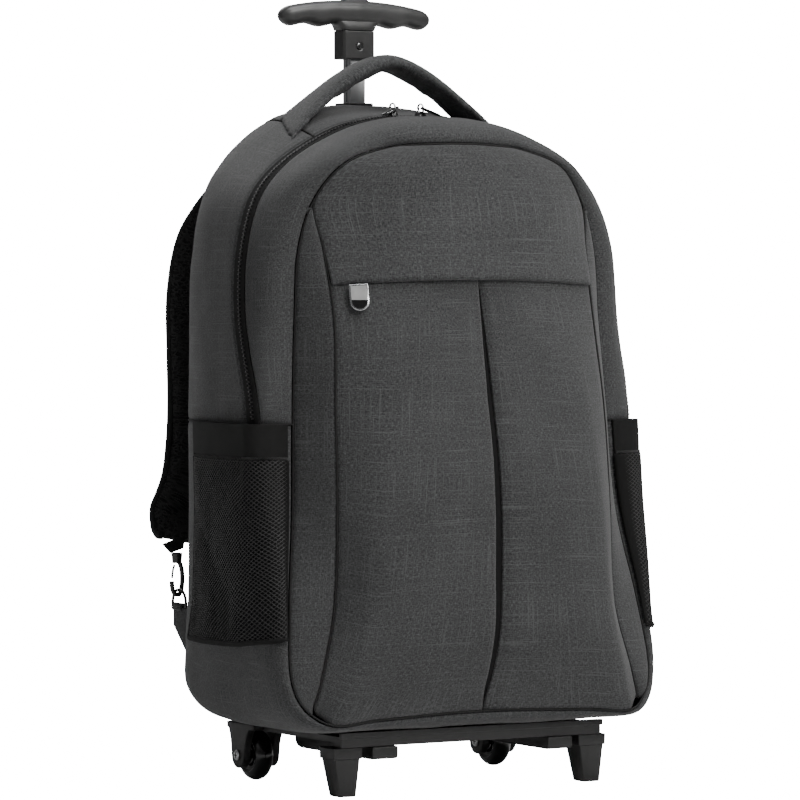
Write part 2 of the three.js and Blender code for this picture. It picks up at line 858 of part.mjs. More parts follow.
function buildTrolley() {
  const top = bodyBase + bodyHeight + 1;
  const guideTop = top - topCollarHeight - seatGap;
  const guideFoot = bagFloor(poleDepth / 2 + slideGap + guideWall);
  const guideOuter = poleBlock(slideGap + guideWall, guideFoot, guideTop);
  place('guide_tube', cut(guideOuter, poleBlock(slideGap, guideFoot - 1, guideTop + 1)), poleMetal);
  place('tube_collar', cut(collarBlock(0), poleBlock(slideGap, 0, top + 1)), plastic);
  const collarTop = gripCollarBase + gripCollarHeight;
  const poleTop = collarTop - 3;
  const poleFoot = guideFoot + slideDown + 2;
  const slotHalf = poleDepth * 0.1;
  const slot = (side) => {
    const face = side * poleWidth / 2;
    return block(
      face - poleGroove, face + poleGroove, -slotHalf, slotHalf, poleFoot - 1, gripCollarBase + 1,
    );
  };
  const boreHalf = poleWidth / 2 - poleGroove - poleWall;
  const boreDepth = poleDepth / 2 - poleWall;
  const bore = block(-boreHalf, boreHalf, -boreDepth, boreDepth, poleFoot - 1, gripCollarBase);
  place('pole', cut(poleBlock(0, poleFoot, poleTop), slot(-1), slot(1), bore), poleMetal);
  const w = gripCollarWidth / 2;
  const d = gripCollarDepth / 2;
  const shell = new THREE.Shape([
    new THREE.Vector2(-w + 2, -d), new THREE.Vector2(w - 2, -d), new THREE.Vector2(w, -d + 2),
    new THREE.Vector2(w, d - 2), new THREE.Vector2(w - 2, d), new THREE.Vector2(-w + 2, d),
    new THREE.Vector2(-w, d - 2), new THREE.Vector2(-w, -d + 2),
  ]);
  const collar = new THREE.ExtrudeGeometry(shell, { depth: gripCollarHeight, bevelEnabled: false });
  collar.translate(0, 0, gripCollarBase);
  const screwZ = gripCollarBase + gripCollarHeight * 0.45;
  const recessRadius = screwRadius + seatGap;
  const recess = new THREE.CylinderGeometry(recessRadius, recessRadius, 2 * screwWall, 16);
  recess.translate(0, -d, screwZ);
  place('handle_collar', cut(collar, poleBlock(seatGap, 0, poleTop + seatGap), recess), gripPlastic);
  const screw = new THREE.CylinderGeometry(screwRadius, screwRadius, screwWall, 16);
  screw.translate(0, -d + screwWall * 0.4, screwZ);
  place('collar_screw', screw, steel);
  const rings = [];
  for (const share of evenly(24)) {
    rings.push(gripRing(lerp(-gripLength / 2, gripLength / 2, share)));
  }
  const neckRing = (z, width, depth) => pill(
    new THREE.Vector3(0, 0, z), new THREE.Vector3(1, 0, 0), new THREE.Vector3(0, 1, 0), width, depth, 14, 5,
  );
  const neck = ringSolid([
    neckRing(collarTop + seatGap, gripCollarWidth + 2, gripCollarDepth + 1),
    neckRing(collarTop + 3, gripCollarWidth + 5, gripCollarDepth + 1),
    neckRing(collarTop + neckRise, gripCollarWidth + neckFlare, gripCollarDepth - 2),
  ]);
  const gripTop = collarTop + gripHeight;
  const pocketFloor = gripTop - buttonSkirt - buttonTravel - seatGap;
  const well = block(
    -buttonLength / 2 - seatGap, buttonLength / 2 + seatGap,
    -buttonWidth / 2 - seatGap, buttonWidth / 2 + seatGap, pocketFloor, gripTop + 5,
  );
  place('t_grip', cut(join(ringSolid(rings), neck), well), gripPlastic);
  const button = [];
  const levels = [
    [gripTop - buttonSkirt, 0], [gripTop + buttonProud - 1, 0], [gripTop + buttonProud, 1.6],
  ];
  for (const [z, shrink] of levels) {
    button.push(pill(
      new THREE.Vector3(0, 0, z), new THREE.Vector3(1, 0, 0), new THREE.Vector3(0, 1, 0),
      buttonLength - shrink, buttonWidth - shrink, 16, 5,
    ));
  }
  place('release_button', ringSolid(button), plastic);
}

// Shoulder straps: the pad's middle line as shares of the body's half width, the strap's reach
// behind the back panel and the body's height; width and turn are shares of the strap's width
const strapRows = [
  { across: 0.31, back: -0.026, up: 0.878, width: 0.82 },
  { across: 0.365, back: 0.144, up: 0.872, width: 0.92 },
  { across: 0.42, back: 0.288, up: 0.855, width: 1 },
  { across: 0.48, back: 0.48, up: 0.822, width: 1 },
  { across: 0.525, back: 0.704, up: 0.775, width: 1 },
  { across: 0.535, back: 0.92, up: 0.69, width: 1 },
  { across: 0.522, back: 1, up: 0.595, width: 1 },
  { across: 0.518, back: 1, up: 0.51, width: 1 },
  { across: 0.532, back: 0.96, up: 0.44, width: 1 },
  { across: 0.572, back: 0.848, up: 0.38, width: 1 },
  { across: 0.655, back: 0.752, up: 0.315, width: 0.98 },
  { across: 0.7, back: 0.6, up: 0.292, width: 0.8 },
  { across: 0.74, back: 0.46, up: 0.288, width: 0.5 },
];

function strapLine() {
  const reach = strapReach - strapThickness / 2;
  return new THREE.CatmullRomCurve3(strapRows.map((row) => new THREE.Vector3(
    row.across * bodyWidth / 2,
    backPlane + strapThickness / 2 + row.back * (reach - strapThickness / 2),
    bodyBase + row.up * bodyHeight,
  )), false, 'centripetal');
}

const strapEnd = strapLine().getPoint(1);
const hookInset = strapEnd.x + hookAside;
const hookDepth = strapEnd.y - hookAhead;
const hookTop = strapEnd.z - hookDrop;

function buildStraps() {
  const line = strapLine();
  const rings = [];
  const steps = 18;
  for (let i = 0; i <= steps; i += 1) {
    const share = i / steps;
    const row = share * (strapRows.length - 1);
    const low = Math.min(Math.floor(row), strapRows.length - 2);
    const width = lerp(strapRows[low].width, strapRows[low + 1].width, row - low) * strapWidth;
    const ahead = line.getTangent(share);
    const thick = new THREE.Vector3(1, 0, 0).cross(ahead).normalize();
    const wide = ahead.clone().cross(thick).normalize();
    const ease = Math.min(1, 0.45 + Math.min(share, 1 - share) * 8);
    rings.push(pill(line.getPoint(share), wide, thick, width, strapThickness * ease, 10, 3.4));
  }
  const swivelTop = hookTop - swivelHeight * 0.75 + swivelRadius + webbingRest;
  const hook = new THREE.Vector3(hookInset, hookDepth, swivelTop);
  const behind = block(
    -bodyWidth, bodyWidth, -bodyDepth, backPlane + seatGap, 0, bodyBase + 2 * bodyHeight,
  );
  const strap = cut(ringSolid(rings), behind);
  const tail = strapEnd.clone().addScaledVector(line.getTangent(1), seatGap + webbingLead);
  const tailRings = [];
  const run = hook.clone().sub(tail);
  const reach = run.length();
  run.normalize();
  const side = new THREE.Vector3(1, 0, 0).addScaledVector(run, -run.x).normalize();
  for (const share of [0, 0.5, 1]) {
    const width = lerp(webbingWidth, webbingWidth * 0.55, share);
    const centre = tail.clone().addScaledVector(run, reach * share);
    tailRings.push(pill(centre, side, side.clone().cross(run), width, webbingWall, 8, 6));
  }
  const webbing = ringSolid(tailRings);
  place('shoulder_strap_right', strap, blackCloth);
  place('shoulder_strap_left', mirrored(strap), blackCloth);
  place('strap_webbing_right', webbing, blackCloth);
  place('strap_webbing_left', mirrored(webbing), blackCloth);
}

// Snap hook in the X-Z plane, its spine on the bag's side and its gate outside
function hookPath(points) {
  const top = hookTop - swivelHeight;
  const foot = hookTop - hookLength + hookWire / 2;
  return new THREE.CatmullRomCurve3(points.map(([out, up]) => new THREE.Vector3(
    hookInset + out * (hookWidth - hookWire) / 2, hookDepth, lerp(foot, top, up),
  )), false, 'centripetal');
}

function wire(path, radius, steps, sides) {
  const section = new THREE.Shape();
  section.absarc(0, 0, radius, 0, 2 * Math.PI);
  const settings = { steps, extrudePath: path, bevelEnabled: false, curveSegments: sides / 2 };
  return new THREE.ExtrudeGeometry(section, settings);
}

function buildHooks() {
  const hook = wire(hookPath([[0, 1.05], [-0.6, 0.92], [-1, 0.7], [-1, 0.3], [-0.6, 0.06], [0, 0],
    [0.7, 0.1], [1, 0.32], [1, 0.42]]), hookWire / 2, 12, 8);
  const barrel = new THREE.CylinderGeometry(swivelRadius, swivelRadius * 0.8, swivelHeight, 12);
  barrel.rotateX(Math.PI / 2).translate(hookInset, hookDepth, hookTop - swivelHeight * 0.75);
  const snap = join(hook, barrel);
  const gate = wire(hookPath([[0.95, 0.5], [0.86, 0.66], [0.66, 0.8], [0.46, 0.885]]), gateWire / 2, 4, 6);
  place('snap_hook_right', snap, plastic);
  place('snap_hook_left', mirrored(snap), plastic);
  place('snap_gate_right', gate, poleMetal);
  place('snap_gate_left', mirrored(gate), poleMetal);
  buildRings();
}

function ringCentre() {
  const hookFloor = hookTop - hookLength + hookWire;
  const z = hookFloor + 4 * seatGap + ringWire - ringHeight;
  return new THREE.Vector3(hookInset, hookDepth - ringWidth * 0.3, z);
}

function buildRings() {
  const centre = ringCentre();
  const half = (ringWidth - ringWire) / 2;
  const rise = ringHeight - ringWire;
  const points = [[-1, 0], [-0.5, 0], [0, 0], [0.5, 0], [1, 0], [1.02, 0.35], [0.78, 0.8], [0.35, 1],
    [-0.35, 1], [-0.78, 0.8], [-1.02, 0.35]];
  const outline = points.map(([along, up]) => new THREE.Vector3(
    centre.x, centre.y + half * 0.3 + along * half, centre.z + ringWire / 2 + up * rise,
  ));
  const ring = wire(new THREE.CatmullRomCurve3(outline, true, 'centripetal'), ringWire / 2, 18, 6);
  place('d_ring_right', ring, plastic);
  place('d_ring_left', mirrored(ring), plastic);
  const bar = new THREE.Vector3(centre.x, centre.y + half * 0.3, centre.z + ringWire / 2);
  const eye = new THREE.CylinderGeometry(tabEyeRadius, tabEyeRadius, ringWidth * 0.62, 14);
  eye.translate(bar.x, bar.y, bar.z);
  const bore = new THREE.CylinderGeometry(
    ringWire / 2 + 0.35, ringWire / 2 + 0.35, ringWidth, 14,
  ).translate(bar.x, bar.y, bar.z);
  const rootTop = bagSide(sectionAt(bar.z - 2), 2);
  const footHeight = bodyBase + bodyHeight * tabFootShare;
  const low = bodyBase + bodyHeight * tabCornerShare;
  const plate = (y, z, x) => [
    new THREE.Vector3(x - tabWall / 2, y, z), new THREE.Vector3(x + tabWall / 2, y, z),
  ];
  const outer = bar.y + ringWidth * 0.31;
  const inner = backPlane + seatGap + 0.6;
  const topRow = [...plate(inner, bar.z - 1, rootTop.x), ...plate(outer, bar.z - 1, bar.x).reverse()];
  const midRow = [...plate(inner, low, rootTop.x), ...plate(outer, low, bar.x).reverse()];
  const footRow = [
    ...plate(inner, footHeight, rootTop.x - 3), ...plate(inner + 3, footHeight, rootTop.x - 3).reverse(),
  ];
  const tab = cut(join(ringSolid([topRow, midRow, footRow]), eye), bore);
  place('ring_tab_right', tab, darkCloth);
  place('ring_tab_left', mirrored(tab), darkCloth);
}

// Zipper sliders and pulls: each slider carries a ring, and each ring a flat pull that lies outwards
function buildMainPulls() {
  for (const [side, label] of [[-1, 'left'], [1, 'right']]) {
    const across = side * sliderSpacing / 2;
    const spot = bagSide(crown - across / sliderPitch, 1);
    const high = new THREE.Vector3(0, -0.12, 1).normalize();
    const along = new THREE.Vector3(1, 0, 0);
    const wide = high.clone().cross(along).normalize();
    const foot = spot.clone().addScaledVector(high, 3 * seatGap);
    const rings = [0, 0.8, 1].map((share) => pill(
      foot.clone().addScaledVector(high, share * sliderHeight), along, wide,
      sliderLength - 3 * share, sliderWidth - 3 * share, 8, 3,
    ));
    const eye = foot.clone().addScaledVector(high, sliderHeight + pullRingRadius - pullRingWire * 2.2);
    const bore = new THREE.TorusGeometry(pullRingRadius, pullRingWire + seatGap, 6, 10);
    const loop = new THREE.TorusGeometry(pullRingRadius, pullRingWire, 6, 12);
    for (const shape of [bore, loop]) {
      shape.rotateY(Math.PI / 2).translate(eye.x, eye.y, eye.z);
    }
    place(`main_slider_${label}`, cut(ringSolid(rings), bore), plastic);
    place(`pull_ring_${label}`, loop, steel);
    const start = eye.clone().add(new THREE.Vector3(0, -pullRingRadius, 0));
    const run = new THREE.Vector3(side, -mainPullSplay, -mainPullDroop).normalize();
    const flat = new THREE.Vector3(0, 1, 0).addScaledVector(run, -run.y).normalize();
    const plate = [-0.14, 0, 0.85, 1].map((share) => pill(
      start.clone().addScaledVector(run, share * mainPullLength), flat, run.clone().cross(flat),
      mainPullWidth * (share === 0 || share === 0.85 ? 1 : 0.66), mainPullWall, 8, 8,
    ));
    place(`main_pull_${label}`, cut(ringSolid(plate), bore), steel);
  }
}

function buildFrontPull() {
  const surface = lowerPocket(-1);
  const share = pullTabInset / seamEnd.x;
  const high = surface(share, 0.985);
  const low = surface(share, 0.93);
  const run = low.clone().sub(high).normalize();
  const out = normalAt(surface, share, 0.955);
  if (out.y > 0) {
    out.negate();
  }
  const across = run.clone().cross(out).normalize();
  const lift = 2 * seatGap + frontSliderHeight + pullTabWall / 2;
  const pivot = high.clone().addScaledVector(run, pullTabSeat).addScaledVector(out, lift);
  const outline = [];
  const half = pullTabWidth / 2;
  const straight = pullTabLength - half;
  outline.push([-half, 0], [half, 0], [half, straight]);
  for (let i = 1; i < 8; i += 1) {
    const angle = Math.PI * i / 8;
    outline.push([half * Math.cos(angle), straight + half * Math.sin(angle)]);
  }
  outline.push([-half, straight]);
  const skin = (offset) => outline.map(([x, down]) => pivot.clone()
    .addScaledVector(across, x)
    .addScaledVector(run, down - pullTabHead)
    .addScaledVector(out, offset));
  const seat = high.clone().addScaledVector(run, frontSliderLength / 2);
  const nub = [seatGap, seatGap + frontSliderHeight].map((level) => pill(
    seat.clone().addScaledVector(out, level), across, run, frontSliderWidth, frontSliderLength, 8, 6,
  ));
  place('front_slider', ringSolid(nub), plastic);
  place('front_pull_tab', ringSolid([skin(-pullTabWall / 2), skin(pullTabWall / 2)]), steel);
}

// Base: tray under the bag with a front bar and lip, feet, skid rails, forks and wheels
function buildBase() {
  const deck = bodyBase - seatGap - 0.9;
  const half = trayWidth / 2;
  const shoulder = wheelDepth - forkTopLength / 2 - seatGap;
  const plate = block(-half, half, -trayFront + 0.5, shoulder, deck - trayWall, deck);
  const inner = wheelInset - wheelWidth / 2 - forkWheelGap - forkCheek - seatGap;
  const tail = block(-inner, inner, shoulder - 1, -trayRear, deck - trayWall, deck);
  const bar = block(-half, half, -trayFront, -trayFront + barDepth, deck - barHeight, deck);
  const lipFace = -trayFront - 2;
  const lip = block(-half - 1, half + 1, lipFace, lipFace + lipWall, deck - 1.5, deck + lipHeight);
  place('base_tray', join(plate, tail, bar, lip), plastic);
  const footTop = deck - barHeight - seatGap;
  for (const [side, label] of [[-1, 'left'], [1, 'right']]) {
    const middle = side * footInset;
    const column = (z, width, depth, lead) => pill(
      new THREE.Vector3(middle, -trayFront + 1.5 - lead + depth / 2, z),
      new THREE.Vector3(1, 0, 0), new THREE.Vector3(0, 1, 0), width, depth, 12, 9,
    );
    const shaft = footTop - footCollarHeight;
    const foot = ringSolid([
      column(0, footBottomWidth - 1, footDepth - 5, -0.5),
      column(1.2, footBottomWidth, footDepth - 4, 0),
      column(shaft, footTopWidth - 1, footDepth + 2, 0),
      column(shaft + 0.01, footTopWidth + footCollar, footDepth + 4, 1),
      column(footTop, footTopWidth + footCollar + 1, footDepth + 4, 1),
    ]);
    place(`front_foot_${label}`, foot, plastic);
    const x0 = side * railInset - railWidth / 2;
    const front = -trayFront - 1.5;
    const rise = (footTop - railBottom) * 0.8;
    const profile = new THREE.Shape();
    profile.moveTo(front, footTop);
    profile.lineTo(front, railBottom + railRound);
    profile.quadraticCurveTo(front, railBottom, front + railRound, railBottom);
    profile.lineTo(-railRear - railRound * 3, railBottom);
    profile.quadraticCurveTo(-railRear, railBottom, -railRear, railBottom + rise);
    profile.lineTo(-railRear, footTop);
    const railForm = { depth: railWidth, bevelEnabled: false, curveSegments: 5 };
    const rail = new THREE.ExtrudeGeometry(profile, railForm);
    rail.applyMatrix4(new THREE.Matrix4().set(0, 0, 1, x0, 1, 0, 0, 0, 0, 1, 0, 0, 0, 0, 0, 1));
    place(`skid_rail_${label}`, rail, plastic);
    buildWheel(side, label, deck);
  }
}

function forkCheekShape(top) {
  const shape = new THREE.Shape();
  const y = wheelDepth;
  const half = forkTopLength / 2;
  shape.moveTo(y - half, top);
  shape.quadraticCurveTo(y - forkBossRadius * 1.1, top - 6, y - forkBossRadius, wheelRadius);
  shape.absarc(y, wheelRadius, forkBossRadius, Math.PI, 2 * Math.PI);
  shape.quadraticCurveTo(y + forkBossRadius * 1.1, top - 8, y + half * 0.72, top);
  shape.closePath();
  return shape;
}

function buildWheel(side, label, top) {
  const middle = side * wheelInset;
  const gap = wheelWidth / 2 + forkWheelGap;
  const cheek = (x0) => {
    const shape = new THREE.ExtrudeGeometry(forkCheekShape(top), {
      depth: forkCheek, bevelEnabled: false, curveSegments: 5,
    });
    return shape.applyMatrix4(new THREE.Matrix4().set(0, 0, 1, x0, 1, 0, 0, 0, 0, 1, 0, 0, 0, 0, 0, 1));
  };
  const half = forkTopLength / 2;
  const roof = block(
    middle - gap - forkCheek, middle + gap + forkCheek,
    wheelDepth - half + 1, wheelDepth + half * 0.72 - 1, wheelRadius * 2 + forkWheelGap - 1, top,
  );
  const past = gap + 2 * forkCheek;
  const bore = rodAlongX(axleRadius + axleGap, middle - past, middle + past, wheelDepth, wheelRadius, 12);
  const tyreRoom = rodAlongX(
    wheelRadius + forkWheelGap, middle - gap, middle + gap, wheelDepth, wheelRadius, 20,
  );
  const fork = cut(join(cheek(middle - gap - forkCheek), cheek(middle + gap), roof), bore, tyreRoom);
  place(`wheel_fork_${label}`, fork, plastic);
  const profile = [];
  const bore0 = axleRadius + axleGap;
  const flat = wheelWidth / 2;
  profile.push([bore0, -flat + 2], [wheelRadius * 0.5, -flat + 1.2], [wheelRadius * 0.62, -flat]);
  for (let i = 0; i <= 4; i += 1) {
    const angle = lerp(-70, 70, i / 4) * Math.PI / 180;
    const reach = wheelRadius - flat + flat * Math.cos(angle);
    profile.push([reach, flat * Math.sin(angle)]);
  }
  profile.push(
    [wheelRadius * 0.62, flat], [wheelRadius * 0.5, flat - 1.2],
    [bore0, flat - 2], [bore0, -flat + 2],
  );
  const tyre = new THREE.LatheGeometry(profile.map(([r, x]) => new THREE.Vector2(r, x)), 20);
  tyre.rotateZ(-Math.PI / 2).translate(middle, wheelDepth, wheelRadius);
  place(`wheel_${label}`, fromSolid(toSolid(tyre)), gloss);
  const outer = middle + side * (gap + forkCheek + seatGap);
  const rod = rodAlongX(
    axleRadius, middle - gap - forkCheek - seatGap - 0.2, middle + gap + forkCheek + seatGap + 0.2,
    wheelDepth, wheelRadius, 12,
  );
  const head = (at) => rodAlongX(
    screwHeadRadius, Math.min(at, at + Math.sign(at - middle) * screwHeadWall),
    Math.max(at, at + Math.sign(at - middle) * screwHeadWall), wheelDepth, wheelRadius, 12,
  );
  const inner = middle - side * (gap + forkCheek + seatGap);
  place(`axle_${label}`, join(rod, head(outer), head(inner)), steel);
}

buildBody();
buildFront();
buildBottlePockets();
buildHaulHandle();
buildTrolley();
buildStraps();
buildHooks();
buildMainPulls();
buildFrontPull();
buildBase();

// Centre the bag over its footprint
const bounds = new THREE.Box3().setFromObject(bag);
bag.position.y = -(bounds.min.y + bounds.max.y) / 2;

export default bag;
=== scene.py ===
import math

import bpy
import bmesh
import numpy as np
from mathutils import Matrix, Vector


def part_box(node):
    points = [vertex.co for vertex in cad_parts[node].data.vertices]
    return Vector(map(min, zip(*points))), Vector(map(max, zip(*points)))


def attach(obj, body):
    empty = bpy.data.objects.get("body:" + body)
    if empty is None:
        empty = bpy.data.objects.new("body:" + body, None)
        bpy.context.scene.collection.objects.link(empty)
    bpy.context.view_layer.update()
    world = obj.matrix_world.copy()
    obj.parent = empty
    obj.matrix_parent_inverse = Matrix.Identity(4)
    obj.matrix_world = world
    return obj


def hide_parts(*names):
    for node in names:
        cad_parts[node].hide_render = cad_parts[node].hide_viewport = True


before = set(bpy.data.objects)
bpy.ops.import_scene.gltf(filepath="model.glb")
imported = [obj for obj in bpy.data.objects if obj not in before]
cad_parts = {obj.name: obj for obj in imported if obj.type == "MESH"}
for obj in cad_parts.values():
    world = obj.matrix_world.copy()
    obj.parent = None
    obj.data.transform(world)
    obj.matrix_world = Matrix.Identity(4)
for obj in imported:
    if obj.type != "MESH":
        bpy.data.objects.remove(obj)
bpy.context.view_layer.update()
poleLow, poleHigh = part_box("pole")
depthShift = (poleLow.y + poleHigh.y) / 2  # from the pole's axis to the middle of the part's frame
print("frame loaded")


# Camera, lights and floor
view = {"turn": 30.71, "distance": 3.84, "height": 0.397, "pitch": 1.238, "aside": 0.039, "lens": 203.27}


def makeCamera():
    turn, pitch = math.radians(-view["turn"]), math.radians(view["pitch"])
    right = Vector((math.cos(turn), math.sin(turn), 0))
    level = Vector((-math.sin(turn), math.cos(turn), 0))
    ahead = level * math.cos(pitch) - Vector((0, 0, math.sin(pitch)))
    up = right.cross(ahead)
    spot = -level * view["distance"] + right * view["aside"]
    spot += Vector((0, depthShift, view["height"]))
    camera = bpy.data.objects.new("camera", bpy.data.cameras.new("camera"))
    camera.data.lens = view["lens"]
    camera.data.sensor_width = 36
    camera.data.clip_end = 30
    camera.matrix_world = Matrix((
        (right.x, up.x, -ahead.x, spot.x),
        (right.y, up.y, -ahead.y, spot.y),
        (right.z, up.z, -ahead.z, spot.z),
        (0, 0, 0, 1),
    ))
    bpy.context.scene.collection.objects.link(camera)
    bpy.context.scene.camera = camera
    return right, level


# each light: sideways, towards the camera and up from the bag's middle, then size, power and colour
lights = {
    "key": ((1.7, 1.6, 2.1), 1.2, 76, (1.0, 0.99, 0.97)),
    "fill": ((-1.9, 1.3, 1.0), 1.6, 2.5, (0.97, 0.98, 1.0)),
    "top": ((0.5, 0.3, 2.3), 1.3, 42, (1.0, 1.0, 1.0)),
    "edge": ((-0.9, -1.9, 1.6), 1.3, 18, (1.0, 1.0, 1.0)),
}
studio = {"world": 0.15, "backdrop": 24.0, "floor": 0.86, "glow": 22.0}


def makeStudio(right, level):
    middle = Vector((0, 0, 0.33))
    for name, (place, size, power, colour) in lights.items():
        lamp = bpy.data.lights.new(name, "AREA")
        lamp.shape = "DISK"
        lamp.size = size
        lamp.energy = power
        lamp.color = colour
        lampObject = bpy.data.objects.new(name, lamp)
        spot = middle + right * place[0] - level * place[1] + Vector((0, 0, place[2]))
        lampObject.location = spot
        lampObject.rotation_euler = (middle - spot).to_track_quat("-Z", "Y").to_euler()
        bpy.context.scene.collection.objects.link(lampObject)
    world = bpy.data.worlds.new("studio")
    world.use_nodes = True
    nodes, links = world.node_tree.nodes, world.node_tree.links
    soft = nodes["Background"]
    soft.inputs["Color"].default_value = (1, 1, 1, 1)
    soft.inputs["Strength"].default_value = studio["world"]
    seen = nodes.new("ShaderNodeBackground")
    seen.inputs["Strength"].default_value = studio["backdrop"]
    seenOrLit = nodes.new("ShaderNodeMixShader")
    links.new(nodes.new("ShaderNodeLightPath").outputs["Is Camera Ray"], seenOrLit.inputs[0])
    links.new(soft.outputs[0], seenOrLit.inputs[1])
    links.new(seen.outputs[0], seenOrLit.inputs[2])
    links.new(seenOrLit.outputs[0], nodes["World Output"].inputs["Surface"])
    bpy.context.scene.world = world
    mesh = bpy.data.meshes.new("floor")
    shape = bmesh.new()
    bmesh.ops.create_grid(shape, x_segments=4, y_segments=4, size=6)
    shape.to_mesh(mesh)
    shape.free()
    floor = bpy.data.objects.new("floor", mesh)
    bpy.context.scene.collection.objects.link(floor)
    pale = bpy.data.materials.new("floor")
    pale.use_nodes = True
    shader = pale.node_tree.nodes["Principled BSDF"]
    shader.inputs["Base Color"].default_value = (studio["floor"],) * 3 + (1,)
    shader.inputs["Roughness"].default_value = 0.7
    nodes, links = pale.node_tree.nodes, pale.node_tree.links
    glow = nodes.new("ShaderNodeEmission")
    glow.inputs["Strength"].default_value = studio["glow"]
    both = nodes.new("ShaderNodeAddShader")
    seenOrLit = nodes.new("ShaderNodeMixShader")
    links.new(shader.outputs[0], both.inputs[0])
    links.new(glow.outputs[0], both.inputs[1])
    links.new(nodes.new("ShaderNodeLightPath").outputs["Is Camera Ray"], seenOrLit.inputs[0])
    links.new(shader.outputs[0], seenOrLit.inputs[1])
    links.new(both.outputs[0], seenOrLit.inputs[2])
    links.new(seenOrLit.outputs[0], nodes["Material Output"].inputs["Surface"])
    mesh.materials.append(pale)


cameraRight, cameraLevel = makeCamera()
makeStudio(cameraRight, cameraLevel)
print("studio")


# Node networks written as sums
class Tap:
    def __init__(self, tree, socket):
        self.tree = tree
        self.socket = socket

    def node(self, kind, inputs, output=0, **settings):
        made = self.tree.nodes.new(kind)
        for key, value in settings.items():
            setattr(made, key, value)
        for key, value in inputs.items():
            if isinstance(value, Tap):
                self.tree.links.new(value.socket, made.inputs[key])
            else:
                made.inputs[key].default_value = value
        return Tap(self.tree, made.outputs[output])

    def math(self, kind, *others):
        return self.node("ShaderNodeMath", dict(enumerate((self, *others))), operation=kind)

    def __add__(self, other):
        return self.math("ADD", other)

    def __mul__(self, other):
        return self.math("MULTIPLY", other)

    def __sub__(self, other):
        return self.math("SUBTRACT", other)

    def __rsub__(self, other):
        return (self * -1.0).math("ADD", other)

    def larger(self, other):
        return self.math("MAXIMUM", other)

    def ramp(self, low, high):
        return self.node("ShaderNodeMapRange", {0: self, 1: low, 2: high}, interpolation_type="SMOOTHSTEP")

    def stretch(self, x, y, z, turn=0.0):
        return self.node("ShaderNodeMapping", {0: self, 2: (0, 0, turn), 3: (x, y, z)})

    def noise(self, scale, detail, roughness):
        return self.node("ShaderNodeTexNoise", {"Vector": self, "Scale": scale, "Detail": detail,
                                                "Roughness": roughness})

    def cells(self, scale, feature):
        return self.node("ShaderNodeTexVoronoi", {"Vector": self, "Scale": scale}, feature=feature)

    def wave(self, scale, direction, distortion):
        return self.node("ShaderNodeTexWave", {"Vector": self, "Scale": scale, "Distortion": distortion},
                         output=1, bands_direction=direction)

    def between(self, first, second):
        return self.node("ShaderNodeMix", {0: self, 6: first, 7: second}, output=2, data_type="RGBA")


def startMaterial(name, roughness, metallic=0.0, **constants):
    material = bpy.data.materials.new(name)
    material.use_nodes = True
    shader = material.node_tree.nodes["Principled BSDF"]
    shader.inputs["Roughness"].default_value = roughness
    shader.inputs["Metallic"].default_value = metallic
    for key, value in constants.items():
        shader.inputs[key.replace("_", " ")].default_value = value
    blank = Tap(material.node_tree, None)
    coordinates = blank.node("ShaderNodeTexCoord", {}, output=3)
    return material, shader, coordinates


def finishMaterial(shader, colour, bump, height, strength, roughness=None):
    tree = shader.id_data
    tree.links.new(colour.socket, shader.inputs["Base Color"])
    raised = bump.node("ShaderNodeBump", {"Strength": strength, "Distance": height, "Height": bump})
    tree.links.new(raised.socket, shader.inputs["Normal"])
    if roughness is not None:
        tree.links.new(roughness.socket, shader.inputs["Roughness"])


def pieceMap(coordinates):
    return coordinates.node("ShaderNodeUVMap", {}, uv_map="cloth")


def grey(level, tint=0.0):
    return (level * (1 - tint), level, level * (1 + tint), 1)


# Charcoal melange: woven flecks both ways, with the odd thick thread running across or down
melange = {"dark": 0.021, "middle": 0.046, "light": 0.085, "slub": 0.1, "tint": 0.02, "relief": 0.0003}


def melangeCloth(name="melange", shade=1.0):
    material, shader, coordinates = startMaterial(name, 0.92, Sheen_Weight=0.12, Sheen_Roughness=0.5,
                                                  Specular_IOR_Level=0.22)
    cloth = pieceMap(coordinates)
    upright = cloth.stretch(1200, 380, 1).noise(1, 2.5, 0.6)
    level = cloth.stretch(400, 1150, 1).noise(1, 2.5, 0.6)
    patch = cloth.stretch(14, 14, 1).noise(1, 3.0, 0.6)
    fleck = (upright + level) * 0.5 + (patch - 0.5) * 0.1
    thread = cloth.stretch(1150, 16, 1).noise(1, 0.0, 0.5).ramp(0.62, 0.82)
    weft = cloth.stretch(15, 1150, 1).noise(1, 0.0, 0.5).ramp(0.62, 0.82)
    slub = (thread * 0.45).larger(weft * 0.5)
    warp = cloth.wave(260, "X", 0.4)
    across = cloth.wave(260, "Y", 0.4)
    weave = warp * across
    dark, middle, light, knot = (grey(melange[key] * shade, melange["tint"])
                                 for key in ("dark", "middle", "light", "slub"))
    tone = fleck.ramp(0.38, 0.52).between(dark, middle)
    tone = fleck.ramp(0.5, 0.66).between(tone, light)
    tone = slub.between(tone, knot)
    bump = weave * 0.35 + fleck * 0.9 + slub * 0.5
    finishMaterial(shader, tone, bump, melange["relief"], 0.75)
    return material


# Black spacer mesh with rounded holes, the holes painted darker as the shade inside them
airMesh = {"face": 0.013, "hole": 0.002, "pitch": 0.0031, "relief": 0.0007}


def airMeshCloth():
    material, shader, coordinates = startMaterial("airMesh", 0.88, Specular_IOR_Level=0.25)
    cloth = pieceMap(coordinates).stretch(1 / airMesh["pitch"], 0.62 / airMesh["pitch"], 1, math.radians(45))
    rows = cloth.cells(1.0, "DISTANCE_TO_EDGE").ramp(0.04, 0.3)
    soft = cloth.noise(0.6, 2.0, 0.5)
    tone = rows.between(grey(airMesh["face"]), grey(airMesh["hole"]))
    finishMaterial(shader, tone, (1.0 - rows) + soft * 0.15, airMesh["relief"], 0.9)
    return material
